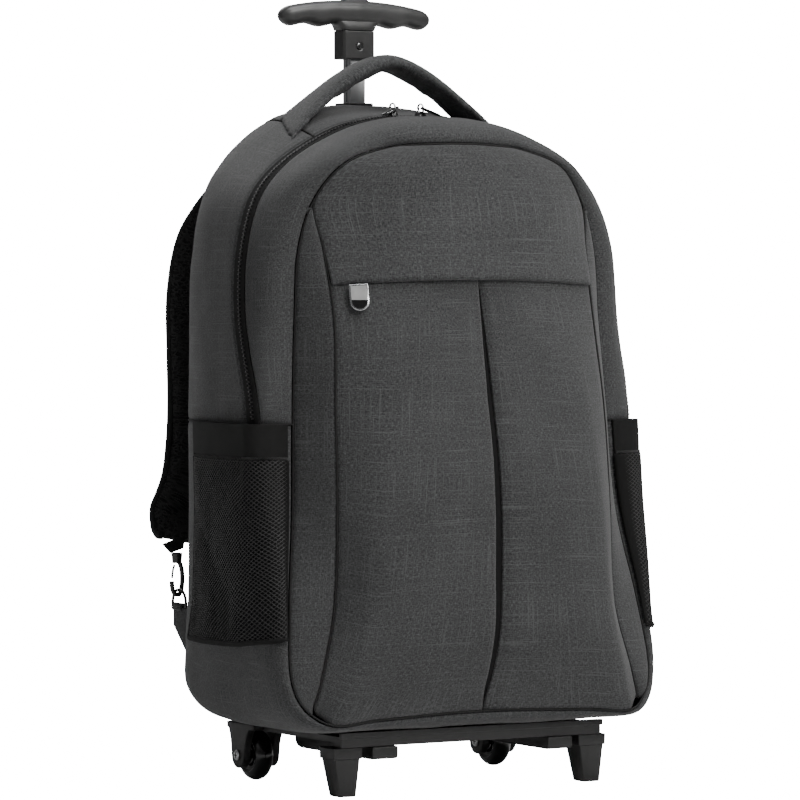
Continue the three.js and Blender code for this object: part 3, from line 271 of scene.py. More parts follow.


# Plain black textiles: zipper tape, elastic band and webbing, a black sheet just inside the net that paints
# the shade behind it, and the tape finish also laid on the pleat's backing as painted shadow
tapes = {
    "netShade": {"tone": 0.0035, "ribs": 520, "way": "X", "relief": 0.0002},
    "tape": {"tone": 0.0045, "ribs": 520, "way": "X", "relief": 0.0002},
    "elastic": {"tone": 0.0065, "ribs": 700, "way": "Y", "relief": 0.0003},
    "webbing": {"tone": 0.0075, "ribs": 380, "way": "Y", "relief": 0.0004},
}


def tapeCloth(name):
    values = tapes[name]
    material, shader, coordinates = startMaterial(name, 0.85, Specular_IOR_Level=0.25)
    cloth = pieceMap(coordinates)
    ribs = cloth.wave(values["ribs"], values["way"], 0.3)
    fluff = cloth.stretch(900, 900, 1).noise(1, 2.0, 0.6)
    tone = (ribs * 0.6 + fluff * 0.4).between(grey(values["tone"] * 0.55), grey(values["tone"] * 1.7))
    finishMaterial(shader, tone, ribs + fluff * 0.5, values["relief"], 0.8)
    return material


# the near-black seam cords paint the shadow in the seam grooves
yarns = {"yarn": (0.013, 0.5), "seam": (0.0045, 0.9), "teeth": (0.008, 0.38), "stitch": (0.03, 0.8)}


def yarnMaterial(name):
    tone, roughness = yarns[name]
    material, shader, coordinates = startMaterial(name, roughness)
    twist = coordinates.stretch(1400, 1400, 500).noise(1, 2.0, 0.5)
    colour = twist.between(grey(tone * 0.6), grey(tone * 1.5))
    finishMaterial(shader, colour, twist, 0.0001, 0.6)
    return material


# Moulded plastics: tone, roughness, grain size per metre and depth
plastics = {
    "black": (0.0115, 0.5, 1500, 0.00008),
    "grip": (0.036, 0.4, 1900, 0.00004),
    "button": (0.085, 0.36, 1900, 0.00003),
    "plate": (0.3, 0.34, 1900, 0.00003),
    "hook": (0.0085, 0.34, 1200, 0.00003),
    "wheel": (0.006, 0.16, 500, 0.00002),
}


def plasticMaterial(name):
    tone, roughness, grain, depth = plastics[name]
    material, shader, coordinates = startMaterial(name, roughness)
    speck = coordinates.noise(grain, 2.0, 0.6)
    scuff = coordinates.noise(38, 4.0, 0.65)
    colour = scuff.ramp(0.3, 0.75).between(grey(tone * 0.85), grey(tone * 1.2))
    gloss = scuff.ramp(0.25, 0.8) * 0.12 + (speck - 0.5) * 0.1 + (roughness - 0.05)
    finishMaterial(shader, colour, speck, depth, 0.6, gloss)
    return material


# Metals: tone, roughness, how the brushing is stretched along X, Y and Z
metals = {
    "pole": (0.42, 0.42, (1600, 1600, 14)),
    "nickel": (0.62, 0.2, (500, 500, 500)),
    "zinc": (0.55, 0.3, (700, 700, 700)),
    "gate": (0.12, 0.3, (500, 500, 500)),
}


def metalMaterial(name):
    tone, roughness, brush = metals[name]
    material, shader, coordinates = startMaterial(name, roughness, 1.0)
    lines = coordinates.stretch(*brush).noise(1, 2.5, 0.6)
    cloud = coordinates.noise(30, 3.0, 0.6)
    colour = (lines * 0.6 + cloud * 0.4).between(grey(tone * 0.8, 0.015), grey(tone * 1.15, 0.015))
    finishMaterial(shader, colour, lines, 0.00003, 0.4, lines * 0.18 + (roughness - 0.09))
    return material


finishes = {
    "melange": melangeCloth(),
    "melangeDark": melangeCloth("melangeDark", 0.82),
    "airMesh": airMeshCloth(),
    **{name: tapeCloth(name) for name in tapes},
    **{name: yarnMaterial(name) for name in yarns},
    **{name: plasticMaterial(name) for name in plastics},
    **{name: metalMaterial(name) for name in metals},
}
print("materials")


# The bag's form, in millimetres from the pole's axis and the floor, as in the CAD
form = {
    "width": 380, "height": 515, "depth": 234, "base": 50, "backPlane": 22, "crownRise": 13,
    "frontRound": 2.9, "pocketTop": 299, "pocketSag": 4, "pocketBulge": 7.5, "stripBulge": 1.5,
    "flapStand": 5, "flapDrop": 3, "flapFade": 0.3, "pleat": 6.5, "tapeFront": 13, "tapeRear": 5,
    "haulHalf": 88, "haulClear": 1.05, "haulBow": 0.17, "seamSection": 8.53,
}
# front seam, pocket's inner seam, zipper line (all across, up, depth), back seam, swell, roundness
sections = [
    ((0, 0.029, 0.991), None, (0, 0, 0.607), (0, 0.074), 0, 3.2),
    ((0.526, 0.023, 0.996), None, (0.589, 0, 0.607), (0.5, 0.074), 0, 3.2),
    ((0.753, 0.019, 1), None, (0.84, 0.008, 0.615), (0.642, 0.08), 0, 3),
    ((0.853, 0.043, 0.962), (0.81, 0.038, 0.958), (0.936, 0.037, 0.637), (0.716, 0.095), -0.1, 2.7),
    ((0.897, 0.082, 0.933), (0.782, 0.082, 0.962), (0.965, 0.1, 0.662), (0.747, 0.132), -0.3, 2.3),
    ((0.876, 0.194, 0.882), (0.705, 0.194, 0.943), (0.965, 0.194, 0.697), (0.753, 0.194), -0.4, 2),
    ((0.813, 0.35, 0.809), (0.687, 0.35, 0.94), (0.955, 0.35, 0.714), (0.753, 0.35), -0.4, 2),
    ((0.789, 0.505, 0.778), (0.677, 0.505, 0.915), (0.952, 0.505, 0.701), (0.747, 0.505), -0.2, 2),
    ((0.767, 0.65, 0.76), (0.654, 0.65, 0.872), (0.935, 0.65, 0.592), (0.734, 0.65), -0.15, 2),
    ((0.748, 0.757, 0.759), (0.663, 0.757, 0.812), (0.908, 0.757, 0.567), (0.705, 0.757), 0, 2),
    ((0.678, 0.835, 0.768), None, (0.818, 0.843, 0.538), (0.642, 0.839), 0.4, 2),
    ((0.547, 0.893, 0.799), None, (0.668, 0.897, 0.517), (0.526, 0.893), 0.8, 2.2),
    ((0.326, 0.919, 0.806), None, (0.421, 0.948, 0.517), (0.337, 0.943), 1.25, 2.3),
    ((0.158, 0.925, 0.846), None, (0.168, 0.97, 0.47), (0.147, 0.971), 1, 2.3),
    ((0, 0.926, 0.859), None, (0, 0.973, 0.4615), (0, 0.975), 1, 2.3),
]
pocketMiddle = [  # up and depth along the pocket's middle line
    (0.029, 0.991), (0.06, 1.004), (0.095, 1.038), (0.159, 1.073), (0.24, 1.079), (0.332, 1.077),
    (0.427, 1.06), (0.52, 1.025), (0.614, 0.991), (0.7146, 0.957), (0.8, 0.935), (0.87, 0.902),
    (0.927, 0.862),
]
crown = len(sections) - 1
around = 2 * crown
fine = 32  # samples per section along a seam loop


def spot(across, up, depth=0.0):
    across, up, depth = np.broadcast_arrays(across, up, depth)
    return np.stack((across * form["width"] / 2, form["backPlane"] - depth * form["depth"],
                     form["base"] + up * form["height"]), -1).astype(float)


def spline(points, closed, steps=fine):  # centripetal spline, sampled evenly in each stretch
    p = np.asarray(points, float)
    if not closed:
        p = np.vstack((2 * p[0] - p[1], p, 2 * p[-1] - p[-2]))
        before, here, after, beyond = p[:-3], p[1:-2], p[2:-1], p[3:]
    else:
        before, here, after, beyond = np.roll(p, 1, 0), p, np.roll(p, -1, 0), np.roll(p, -2, 0)
    d0, d1, d2 = (np.sqrt(np.linalg.norm(b - a, axis=1) + 1e-12)[:, None] + 1e-9
                  for a, b in ((before, here), (here, after), (after, beyond)))
    out = ((here - before) / d0 - (after - before) / (d0 + d1) + (after - here) / d1) * d1
    land = ((after - here) / d1 - (beyond - here) / (d1 + d2) + (beyond - after) / d2) * d1
    w = (np.arange(steps) / steps)[None, :, None]
    here, after, out, land = (value[:, None, :] for value in (here, after, out, land))
    curve = (here * (1 - 3 * w ** 2 + 2 * w ** 3) + after * (3 * w ** 2 - 2 * w ** 3)
             + out * (w - 2 * w ** 2 + w ** 3) + land * (w ** 3 - w ** 2))
    curve = curve.reshape(-1, p.shape[1])
    return curve if closed else np.vstack((curve, p[-2]))


def ringOf(pick):
    rows = [pick(row) for row in sections]
    ring = [rows[i] if i <= crown else rows[around - i] for i in range(around)]
    signs = [1 if i <= crown else -1 for i in range(around)]
    return spline([spot(sign * row[0], row[1], row[2] if len(row) > 2 else 0)
                   for row, sign in zip(ring, signs)], True)


loops = {
    "front": ringOf(lambda row: row[0]),
    "inner": ringOf(lambda row: row[1] or row[0]),
    "zip": ringOf(lambda row: row[2]),
    "back": ringOf(lambda row: row[3]),
}


def onLoop(name, section):
    at = np.asarray(section, float) * fine
    low = np.floor(at).astype(int)
    share = (at - low)[..., None]
    loop = loops[name]
    return loop[low % len(loop)] * (1 - share) + loop[(low + 1) % len(loop)] * share


def fold(section):
    wrapped = np.mod(section, around)
    return np.minimum(wrapped, around - wrapped), np.where(wrapped < crown, 1, -1)


def onPocketEdge(section):
    section = np.asarray(section, float)
    folded, side = fold(section)
    outer, inner = onLoop("front", section), onLoop("inner", section)
    share = np.clip(folded - 2, 0, 1)[..., None]
    link = onLoop("front", side * 2.0) * (1 - share) + onLoop("inner", side * 3.0) * share
    plain = ((folded <= 2) | (folded >= 10))[..., None]
    return np.where(plain, outer, np.where((folded < 3)[..., None], link, inner))


def column(index, section):
    folded, _ = fold(section)
    return np.interp(folded, np.arange(crown + 1), [row[index] for row in sections])


def quarter(share, roundness):
    angle = np.asarray(share) * math.pi / 2
    c, s = np.maximum(np.cos(angle), 0), np.maximum(np.sin(angle), 0)
    reach = (c ** roundness + s ** roundness) ** (-1 / roundness)
    return c * reach, s * reach


def bagSide(section, s):
    section, s = np.broadcast_arrays(np.asarray(section, float), np.asarray(s, float))
    front, zipper, back = (onLoop(name, section) for name in ("front", "zip", "back"))
    ahead, out = quarter(np.clip(s, 0, 1), form["frontRound"])
    near = front + (zipper - front) * out[..., None]
    near[..., 1] = zipper[..., 1] + (front[..., 1] - zipper[..., 1]) * ahead
    out, behind = quarter(np.clip(s - 1, 0, 1), column(5, section))
    far = back + (zipper - back) * out[..., None]
    far[..., 1] = zipper[..., 1] + (back[..., 1] - zipper[..., 1]) * behind
    along = onLoop("zip", section + 0.05) - onLoop("zip", section - 0.05)
    along[..., 1] = 0
    along /= np.linalg.norm(along, axis=-1, keepdims=True)
    swell = column(4, section) * form["crownRise"] * np.sin(np.clip(s - 1, 0, 1) * math.pi)
    far[..., 0] += along[..., 2] * swell
    far[..., 2] -= along[..., 0] * swell
    return np.where((s <= 1)[..., None], near, far)


def alongSide(section, distance):  # the s that lies a distance from the zipper line along the cloth
    steps = np.linspace(1, 2 if distance > 0 else 0, 120)
    points = bagSide(section, steps)
    walked = np.concatenate(([0], np.cumsum(np.linalg.norm(np.diff(points, axis=0), axis=1))))
    return float(np.interp(abs(distance), walked, steps))


edgeSections = np.arange(0, around + 0.5, 0.5)
tapeEdges = {way: [alongSide(s, way) for s in edgeSections] for way in (-form["tapeFront"], form["tapeRear"])}


def tapeEdge(section, way):
    return np.interp(np.mod(section, around), edgeSections, tapeEdges[way])


def sectionWhere(test, low=3.0, high=float(crown)):  # last section for which test holds
    for _ in range(40):
        middle = (low + high) / 2
        low, high = (middle, high) if test(middle) else (low, middle)
    return low


zipEnd = sectionWhere(lambda s: onLoop("zip", s)[2] < form["pocketTop"])
haulSection = sectionWhere(lambda s: onLoop("zip", s)[0] > form["haulHalf"] * form["haulClear"], 10.5)
middleLine = spline(pocketMiddle, False)
bagCentre = spot(0, 0.485, 0.48)


def middleDepth(up):
    return np.interp(up, middleLine[:, 0], middleLine[:, 1])


def mix(a, b, share):
    return a + (b - a) * np.asarray(share)[..., None]


seamSection = form["seamSection"]
seamEnd = onPocketEdge(seamSection)
seamRise = (seamEnd[2] + form["pocketSag"] - form["base"]) / form["height"]
seamMiddle = spot(0, seamRise, middleDepth(seamRise))


def pocketSeam(share):
    share = np.asarray(share, float)
    bend = np.abs(share) ** 2.2
    return np.stack((share * seamEnd[0], seamMiddle[1] + (seamEnd[1] - seamMiddle[1]) * bend,
                     seamMiddle[2] + (seamEnd[2] - seamMiddle[2]) * share ** 2), -1)


def coons(bottom, top, left, right):
    def surface(u, v):
        u, v = np.broadcast_arrays(u, v)
        ruled = mix(bottom(u), top(u), v) + mix(left(v), right(v), u)
        zero, one = np.zeros_like(u, float), np.ones_like(u, float)
        return ruled - mix(mix(bottom(zero), bottom(one), u), mix(top(zero), top(one), u), v)
    return surface


def lowerPocket(side):
    start, corner = onPocketEdge(0.0)[2], onPocketEdge(3.0)[2]
    edge = lambda v: onPocketEdge(side * (3 + (seamSection - 3) * v))

    def middle(v):
        share = (edge(v)[..., 2] - corner) / (seamEnd[2] - corner)
        up = (start + (seamMiddle[2] - start) * share - form["base"]) / form["height"]
        return spot(0, up, middleDepth(up))

    base = coons(lambda u: onPocketEdge(side * 3.0 * u), lambda u: pocketSeam(side * u), middle, edge)

    def surface(u, v):
        u, v = np.broadcast_arrays(u, v)
        point = base(u, v)
        point[..., 1] -= form["pocketBulge"] * 4 * u * (1 - u) * 4 * v * (1 - v)
        if side > 0:
            gap = np.maximum(0, np.sin(math.pi * np.clip(v, 0, 1))) ** 0.8
            point[..., 0] += form["pleat"] * (1 - u) * gap
        return point
    return surface


def upperPocket(u, v):
    u, v = np.broadcast_arrays(u, v)
    side = 2 * u - 1
    edge = onPocketEdge(seamSection + (crown - 0.5 - seamSection) * v)
    up = (edge[..., 2] - form["base"]) / form["height"]
    middle = spot(0, up, middleDepth(up))
    fade = np.maximum(0, 1 - v / form["flapFade"]) ** 2
    lift = form["pocketSag"] * (1 - side * side) * np.maximum(0, 1 - v * 3)
    return np.stack((side * edge[..., 0],
                     mix(middle, edge, np.abs(side) ** 2.3)[..., 1] - form["flapStand"] * fade,
                     edge[..., 2] - form["flapDrop"] * fade + lift), -1)


def frontStrip(side):
    def surface(u, v):
        u, v = np.broadcast_arrays(u, v)
        section = side * (3.0 + (9.82 - 3.0) * v)
        point = mix(onPocketEdge(section), onLoop("front", section), u)
        point[..., 1] -= form["stripBulge"] * 4 * u * (1 - u)
        return point
    return surface


def gusset(start, end, edge0, edge1, bow0=0.0, bow1=0.0):  # the bows bend both ends between their seams
    def surface(u, v):
        u, v = np.broadcast_arrays(u, v)
        straight = start + (end - start) * u
        near0 = np.maximum(0, 1 - np.abs(straight - start))
        near1 = np.maximum(0, 1 - np.abs(straight - end))
        section = straight + np.sin(math.pi * v) * (bow0 * near0 + bow1 * near1)
        low, high = edge0(section), edge1(section)
        return bagSide(section, low + (high - low) * v)
    return surface


def backSurface(u, v):
    edge = lambda a, b: lambda share: onLoop("back", a + (b - a) * np.asarray(share, float))
    return coons(edge(-3, 3), edge(around - 10.5, 10.5), edge(around - 3, around - 10.5), edge(3, 10.5))(u, v)


def noise(points, seed=0):  # smooth noise from -1 to 1 over points in three dimensions
    low = np.floor(points).astype(np.int64)
    share = points - low
    share = share * share * (3 - 2 * share)
    total = np.zeros(points.shape[:-1])
    for corner in np.ndindex(2, 2, 2):
        key = low + np.array(corner)
        mixed = key[..., 0] * 73856093 ^ key[..., 1] * 19349663 ^ key[..., 2] * 83492791 ^ (seed + 7) * 40503
        mixed = (mixed ^ (mixed >> 13)) * 1274126177 & 0xFFFFFFFF
        value = ((mixed ^ (mixed >> 16)) & 0xFFFF) / 32767.5 - 1
        weight = np.prod(np.where(np.array(corner) == 1, share, 1 - share), -1)
        total += value * weight
    return total


def toMetres(points):
    out = np.asarray(points, float) / 1000
    out[..., 1] += depthShift
    return out


def settle(name, mesh, finish, body="bag", smooth=True):  # a finished mesh becomes a piece of the bag
    mesh.polygons.foreach_set("use_smooth", [smooth] * len(mesh.polygons))
    mesh.materials.clear()
    mesh.materials.append(finishes[finish])
    piece = bpy.data.objects.new(name, mesh)
    bpy.context.scene.collection.objects.link(piece)
    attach(piece, body)
    return piece


def addGrid(name, points, finish, body="bag", marks=None, turned=False, ring=False):
    rows, columns = points.shape[:2]
    shape = bmesh.new()
    bmesh.ops.create_grid(shape, x_segments=columns - 1, y_segments=rows - 1, size=1)
    if turned:
        bmesh.ops.reverse_faces(shape, faces=shape.faces)
    mesh = bpy.data.meshes.new(name)
    shape.to_mesh(mesh)
    mesh.vertices.foreach_set("co", toMetres(points).ravel())
    if marks is not None:
        layer = mesh.uv_layers.new(name="cloth")
        corners = np.zeros(len(mesh.loops), int)
        mesh.loops.foreach_get("vertex_index", corners)
        layer.data.foreach_set("uv", marks.reshape(-1, 2)[corners].ravel())
    if ring:  # the two long edges meet, and both ends are closed
        shape.clear()
        shape.from_mesh(mesh)
        bmesh.ops.remove_doubles(shape, verts=shape.verts, dist=1e-7)
        bmesh.ops.holes_fill(shape, edges=[edge for edge in shape.edges if edge.is_boundary], sides=columns)
        bmesh.ops.recalc_face_normals(shape, faces=shape.faces)
        shape.to_mesh(mesh)
    shape.free()
    return settle(name, mesh, finish, body)


def subdivide(piece, levels=1):
    smoother = piece.modifiers.new("subdivide", "SUBSURF")
    smoother.levels = levels
    smoother.render_levels = levels
    return piece


def unit(vectors):
    return vectors / np.maximum(np.linalg.norm(vectors, axis=-1, keepdims=True), 1e-9)


def walk(points):
    return np.concatenate(([0], np.cumsum(np.linalg.norm(np.diff(points, axis=0), axis=1))))


seamRows = (0, 0.8, 1.8, 3.2, 5.5)  # finer rows beside both seams, in millimetres from them


def graded(length, cell):
    edge = seamRows[-1]
    inner = np.linspace(edge, length - edge, max(2, int(round((length - 2 * edge) / cell)) + 1))
    return np.concatenate((seamRows[:-1], inner, length - np.array(seamRows[:-1])[::-1]))


# Cloth panels: how far a seam draws its edge in, the puckers along it and the soft creases between
cloth = {"sink": 1.5, "reach": 2.6, "pucker": 0.22, "puckerPitch": 9, "puckerReach": 9, "crease": 0.7,
         "creasePitch": 46, "creaseReach": 14, "hem": 4.5, "cell": 5.0}


def clothPanel(name, node, surface, finish, slot, seams=(1, 1, 1, 1), seed=0, extra=None, **changes):
    values = {**cloth, **changes}
    dense = np.linspace(0, 1, 240)
    longU, longV = walk(surface(dense, 0.5)), walk(surface(0.5, dense))
    alongU = graded(longU[-1], values["cell"])
    alongV = graded(longV[-1], values["cell"])
    u = np.interp(alongU, longU, dense)
    v = np.interp(alongV, longV, dense)
    grid = surface(*np.meshgrid(u, v, indexing="ij"))
    normal = unit(np.cross(np.gradient(grid, axis=0), np.gradient(grid, axis=1)))
    outward = np.sum(normal * (grid - bagCentre), -1)
    if np.mean(outward) < 0:
        normal = -normal
    gapU = np.stack(np.broadcast_arrays(alongU[:, None], (longU[-1] - alongU)[:, None]))
    gapV = np.stack(np.broadcast_arrays(alongV[None, :], (longV[-1] - alongV)[None, :]))
    gaps = [np.broadcast_to(g, grid.shape[:2]) for g in (gapU[0], gapU[1], gapV[0], gapV[1])]
    away = np.min([g if sewn else np.full_like(g, 1e3) for g, sewn in zip(gaps, seams)], axis=0)
    edge = np.min(gaps, axis=0)
    place = grid / values["creasePitch"]
    height = -values["sink"] * np.exp(-(away / values["reach"]) ** 1.3)
    pucker = noise(grid / values["puckerPitch"], seed + 1)
    height += values["pucker"] * pucker * np.exp(-away / values["puckerReach"]) * np.minimum(1, edge / 2)
    free = 1 - np.exp(-(away / values["creaseReach"]) ** 2)
    height += values["crease"] * free * (noise(place, seed + 2) + 0.4 * noise(place * 2.3, seed + 3))
    if extra is not None:
        height += extra(grid, gaps, alongU, alongV)
    grid = grid + normal * height[..., None]
    hem = lambda row, way: row - way * values["hem"]
    grid = np.concatenate((hem(grid[:1], normal[:1]), grid, hem(grid[-1:], normal[-1:])), 0)
    normal = np.concatenate((normal[:1], normal, normal[-1:]), 0)
    grid = np.concatenate((hem(grid[:, :1], normal[:, :1]), grid, hem(grid[:, -1:], normal[:, -1:])), 1)
    padU = np.concatenate(([-values["hem"]], alongU, [longU[-1] + values["hem"]]))
    padV = np.concatenate(([-values["hem"]], alongV, [longV[-1] + values["hem"]]))
    rows, columns = grid.shape[:2]
    middle = grid[rows // 2, columns // 2]
    across = np.cross(grid[rows // 2, columns // 2 + 1] - middle, grid[rows // 2 + 1, columns // 2] - middle)
    marks = np.stack(np.meshgrid(padU, padV, indexing="ij"), -1) / 1000 + np.array((0.37, 0.61)) * seed
    piece = addGrid(name, grid, finish, marks=marks, turned=np.dot(across, middle - bagCentre) < 0)
    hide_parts(node)
    return subdivide(piece)


def evaluatedMesh(piece):
    graph = bpy.context.evaluated_depsgraph_get()
    return bpy.data.meshes.new_from_object(piece.evaluated_get(graph), depsgraph=graph)


def tubes(name, paths, radius, roundness, finish):
    curve = bpy.data.curves.new(name, "CURVE")
    curve.dimensions = "3D"
    curve.bevel_depth = radius / 1000
    curve.bevel_resolution = roundness
    curve.use_fill_caps = True
    for path in paths:
        points = toMetres(path)
        line = curve.splines.new("POLY")
        line.points.add(len(points) - 1)
        line.points.foreach_set("co", np.column_stack((points, np.ones(len(points)))).ravel())
    rope = bpy.data.objects.new(name, curve)
    bpy.context.scene.collection.objects.link(rope)
    mesh = evaluatedMesh(rope)
    bpy.data.objects.remove(rope)
    bpy.data.curves.remove(curve)
    return settle(name, mesh, finish)


def pill(centre, wide, thick, width, thickness, sides=24, roundness=3.2):
    angle = 2 * math.pi * np.arange(sides + 1) / sides
    c, k = np.cos(angle), np.sin(angle)
    reach = (np.abs(c) ** roundness + np.abs(k) ** roundness) ** (-1 / roundness)
    return centre + np.outer(c * reach * width / 2, wide) + np.outer(k * reach * thickness / 2, thick)


def loft(name, rings, finish, body="bag"):
    rings = np.asarray(rings)
    middle = rings[:, :-1].mean(axis=1)
    along = np.broadcast_to(walk(middle)[:, None], rings.shape[:2])
    girth = walk(rings[len(rings) // 2])
    marks = np.stack((along, np.broadcast_to(girth, rings.shape[:2])), -1) / 1000
    return addGrid(name, rings, finish, body, marks, ring=True)


edging = {"sides": 12, "roundness": 2.4}


def ribbon(name, path, up, width, thickness, finish):
    ahead = unit(np.gradient(path, axis=0))
    up = np.broadcast_to(np.asarray(up, float), path.shape)
    wide = unit(np.cross(ahead, up))
    thick = np.cross(wide, ahead)
    widths = np.broadcast_to(width, len(path))
    return loft(name, [pill(path[i], wide[i], thick[i], widths[i], thickness, **edging)
                       for i in range(len(path))], finish)


def evenSteps(path, step):
    length = walk(path)
    count = max(2, int(round(length[-1] / step)) + 1)
    at = np.linspace(0, length[-1], count)
    return np.stack([np.interp(at, length, path[:, i]) for i in range(3)], -1)


# Cloth panels of the bag
last = around - zipEnd
ahead = lambda section: tapeEdge(section, -form["tapeFront"])
behind = lambda section: tapeEdge(section, form["tapeRear"])
frontSeam = lambda section: np.zeros_like(section)
backSeam = lambda section: np.full_like(section, 2.0)


def sideFolds(grid, gaps, alongU, alongV):  # slack above the base at both lower corners
    low = np.exp(-((grid[..., 2] - 92) / 34) ** 2) * np.clip((np.abs(grid[..., 0]) - 120) / 50, 0, 1)
    slant = grid[..., 2] * 0.55 + grid[..., 1] * 0.3
    return 1.1 * low * np.sin(slant / 9.5 + 2.2 * noise(grid / 60, 31)) * (1 - np.exp(-(gaps[2] / 16) ** 2))


def shoulderFolds(grid, gaps, alongU, alongV):  # shallow drag lines where the sides turn into the crown
    high = np.exp(-((grid[..., 2] - 500) / 55) ** 2)
    return 0.9 * high * noise(np.stack((grid[..., 0] / 55, grid[..., 1] / 14, grid[..., 2] / 55), -1), 37)


def flapFold(grid, gaps, alongU, alongV):  # the flap's lower edge turns in over the zipper
    return -1.4 * np.exp(-(gaps[2] / 1.6) ** 2)


def pleatFold(grid, gaps, alongU, alongV):
    return -1.6 * np.exp(-(gaps[0] / 1.8) ** 2)


def tuckUnder(grid, gaps, alongU, alongV):  # this half passes behind the other half's fold
    return -2.6 * np.exp(-(gaps[0] / 4.5) ** 2)


# three soft pads with channels between them
pads = {"rise": 6.5, "rim": 16, "channel": 4.5, "middle": 34, "wide": 7, "crossUp": 300, "crossWide": 8}


def backPads(grid, gaps, alongU, alongV):
    across, up = np.abs(grid[..., 0]), grid[..., 2]
    rim = 1 - np.exp(-(np.min(gaps, axis=0) / pads["rim"]) ** 2)
    upright = np.exp(-((across - pads["middle"]) / pads["wide"]) ** 2)
    level = np.exp(-((up - pads["crossUp"]) / pads["crossWide"]) ** 2) * (across > pads["middle"])
    return pads["rise"] * rim - pads["channel"] * np.minimum(1, upright + level) * rim


clothPanel("frontGusset", "front_gusset", gusset(zipEnd, last, frontSeam, ahead), "melange", "cloth",
           seed=1, extra=shoulderFolds)
clothPanel("lowerGusset", "lower_gusset", gusset(-zipEnd, zipEnd, frontSeam, backSeam), "melange", "cloth",
           seed=2, crease=1.0, extra=sideFolds)
bow = form["haulBow"]
clothPanel("rearGussetRight", "rear_gusset_right", gusset(zipEnd, haulSection, behind, backSeam, 0, bow),
           "melange", "cloth", seed=3, crease=1.2)
clothPanel("rearGussetLeft", "rear_gusset_left", gusset(around - haulSection, last, behind, backSeam, -bow),
           "melange", "cloth", seed=4, crease=1.2)
topPanel = clothPanel("rearGussetTop", "rear_gusset_top",
                      gusset(haulSection, around - haulSection, behind, backSeam, bow, -bow),
                      "melange", "cloth", seed=5)
clothPanel("pocketUpper", "pocket_upper", upperPocket, "melange", "cloth", seams=(1, 1, 0, 1), seed=6,
           hem=3, extra=flapFold)
clothPanel("pocketLowerLeft", "pocket_lower_left", lowerPocket(-1), "melange", "cloth",
           seams=(0, 1, 1, 0), seed=7, extra=pleatFold)
clothPanel("pocketLowerRight", "pocket_lower_right", lowerPocket(1), "melange", "cloth",
           seams=(0, 1, 1, 0), seed=8, hem=5, extra=tuckUnder)
clothPanel("stripLeft", "front_strip_left", frontStrip(-1), "melange", "cloth", seed=9, crease=0.35)
clothPanel("stripRight", "front_strip_right", frontStrip(1), "melange", "cloth", seed=10, crease=0.35)
clothPanel("backPanel", "back_panel", backSurface, "airMesh", "back_mesh", seed=11, extra=backPads)
clothPanel("zipperTape", "main_zipper", gusset(zipEnd, last, ahead, behind), "tape", "zipper", seed=12,
           sink=0.3, pucker=0.1, crease=0, hem=1, cell=3)


backing = {"foot": 0.05, "rise": 0.64, "width": 34, "behind": 4.5}


def pleatStrip(u, v):
    u, v = np.broadcast_arrays(u, v)
    up = backing["foot"] + backing["rise"] * v
    point = spot(0, up, middleDepth(up))
    point[..., 0] = form["pleat"] / 2 + backing["width"] * (u - 0.5)
    point[..., 1] += backing["behind"]
    return point


# the near-black tape finish on the pleat's backing paints the shadow inside the pleat
clothPanel("pleatBacking", "pleat_backing", pleatStrip, "tape", "cloth", seed=13, crease=0, hem=0.5)


poleHole = {"across": 0.0105, "depth": 0.0095}  # half sizes, in metres


def openForPole(piece):  # the sliding pole passes through the top panel inside its collar
    shape = bmesh.new()
    shape.from_mesh(piece.data)
    middles = {face: face.calc_center_median() for face in shape.faces}
    inside = [face for face, middle in middles.items()
              if abs(middle.x) < poleHole["across"] and abs(middle.y - depthShift) < poleHole["depth"]]
    bmesh.ops.delete(shape, geom=inside, context="FACES")
    shape.to_mesh(piece.data)
    shape.free()


openForPole(topPanel)
print("cloth panels")


# Near-black cords sunk between the panels: painted shadow in the seam grooves
seamShadowCord = {"radius": 0.85, "sink": 0.9, "step": 5.0}


def seamPath(points):
    path = evenSteps(points, seamShadowCord["step"])
    inward = bagCentre - path
    inward[:, 0] *= 0.7
    return path + unit(inward) * seamShadowCord["sink"]


def addSeamShadows():
    along = lambda loop, a, b: onLoop(loop, np.linspace(a, b, 400))
    edge = lambda a, b: onPocketEdge(np.linspace(a, b, 300))
    rise = np.linspace(0, 1, 60)
    paths = [
        along("front", 0, around),
        along("back", 0, around),
        edge(2.9, 9.9), edge(-9.9, -2.9),
        *(bagSide(side * zipEnd, np.linspace(0, 2, 120)) for side in (1, -1)),
        *(bagSide(side * (haulSection + form["haulBow"] * np.sin(math.pi * rise)),
                  behind(haulSection) + (2 - behind(haulSection)) * rise) for side in (1, -1)),
    ]
    cords = [seamPath(path) for path in paths]
    tubes("seamShadowLines", cords, seamShadowCord["radius"], 1, "seam")


addSeamShadows()


# Zipper teeth down the middle of the tape, and the top stitching beside it
zipper = {"pitch": 1.7, "tooth": 3.6, "radius": 0.62, "proud": 0.75}
thread = {"length": 2.5, "gap": 1.1, "radius": 0.2, "proud": 0.12, "beside": 2.2}


def skinLine(sectionsAlong, sAlong, proud=0.0):
    point = bagSide(sectionsAlong, sAlong)
    along = bagSide(sectionsAlong + 0.02, sAlong) - bagSide(sectionsAlong - 0.02, sAlong)
    across = bagSide(sectionsAlong, np.minimum(sAlong + 0.01, 2)) - bagSide(sectionsAlong, sAlong - 0.01)
    normal = unit(np.cross(along, across))
    facing = np.sign(np.sum(normal * (point - bagCentre), -1))[..., None]
    return point + normal * facing * proud, normal * facing, unit(across)


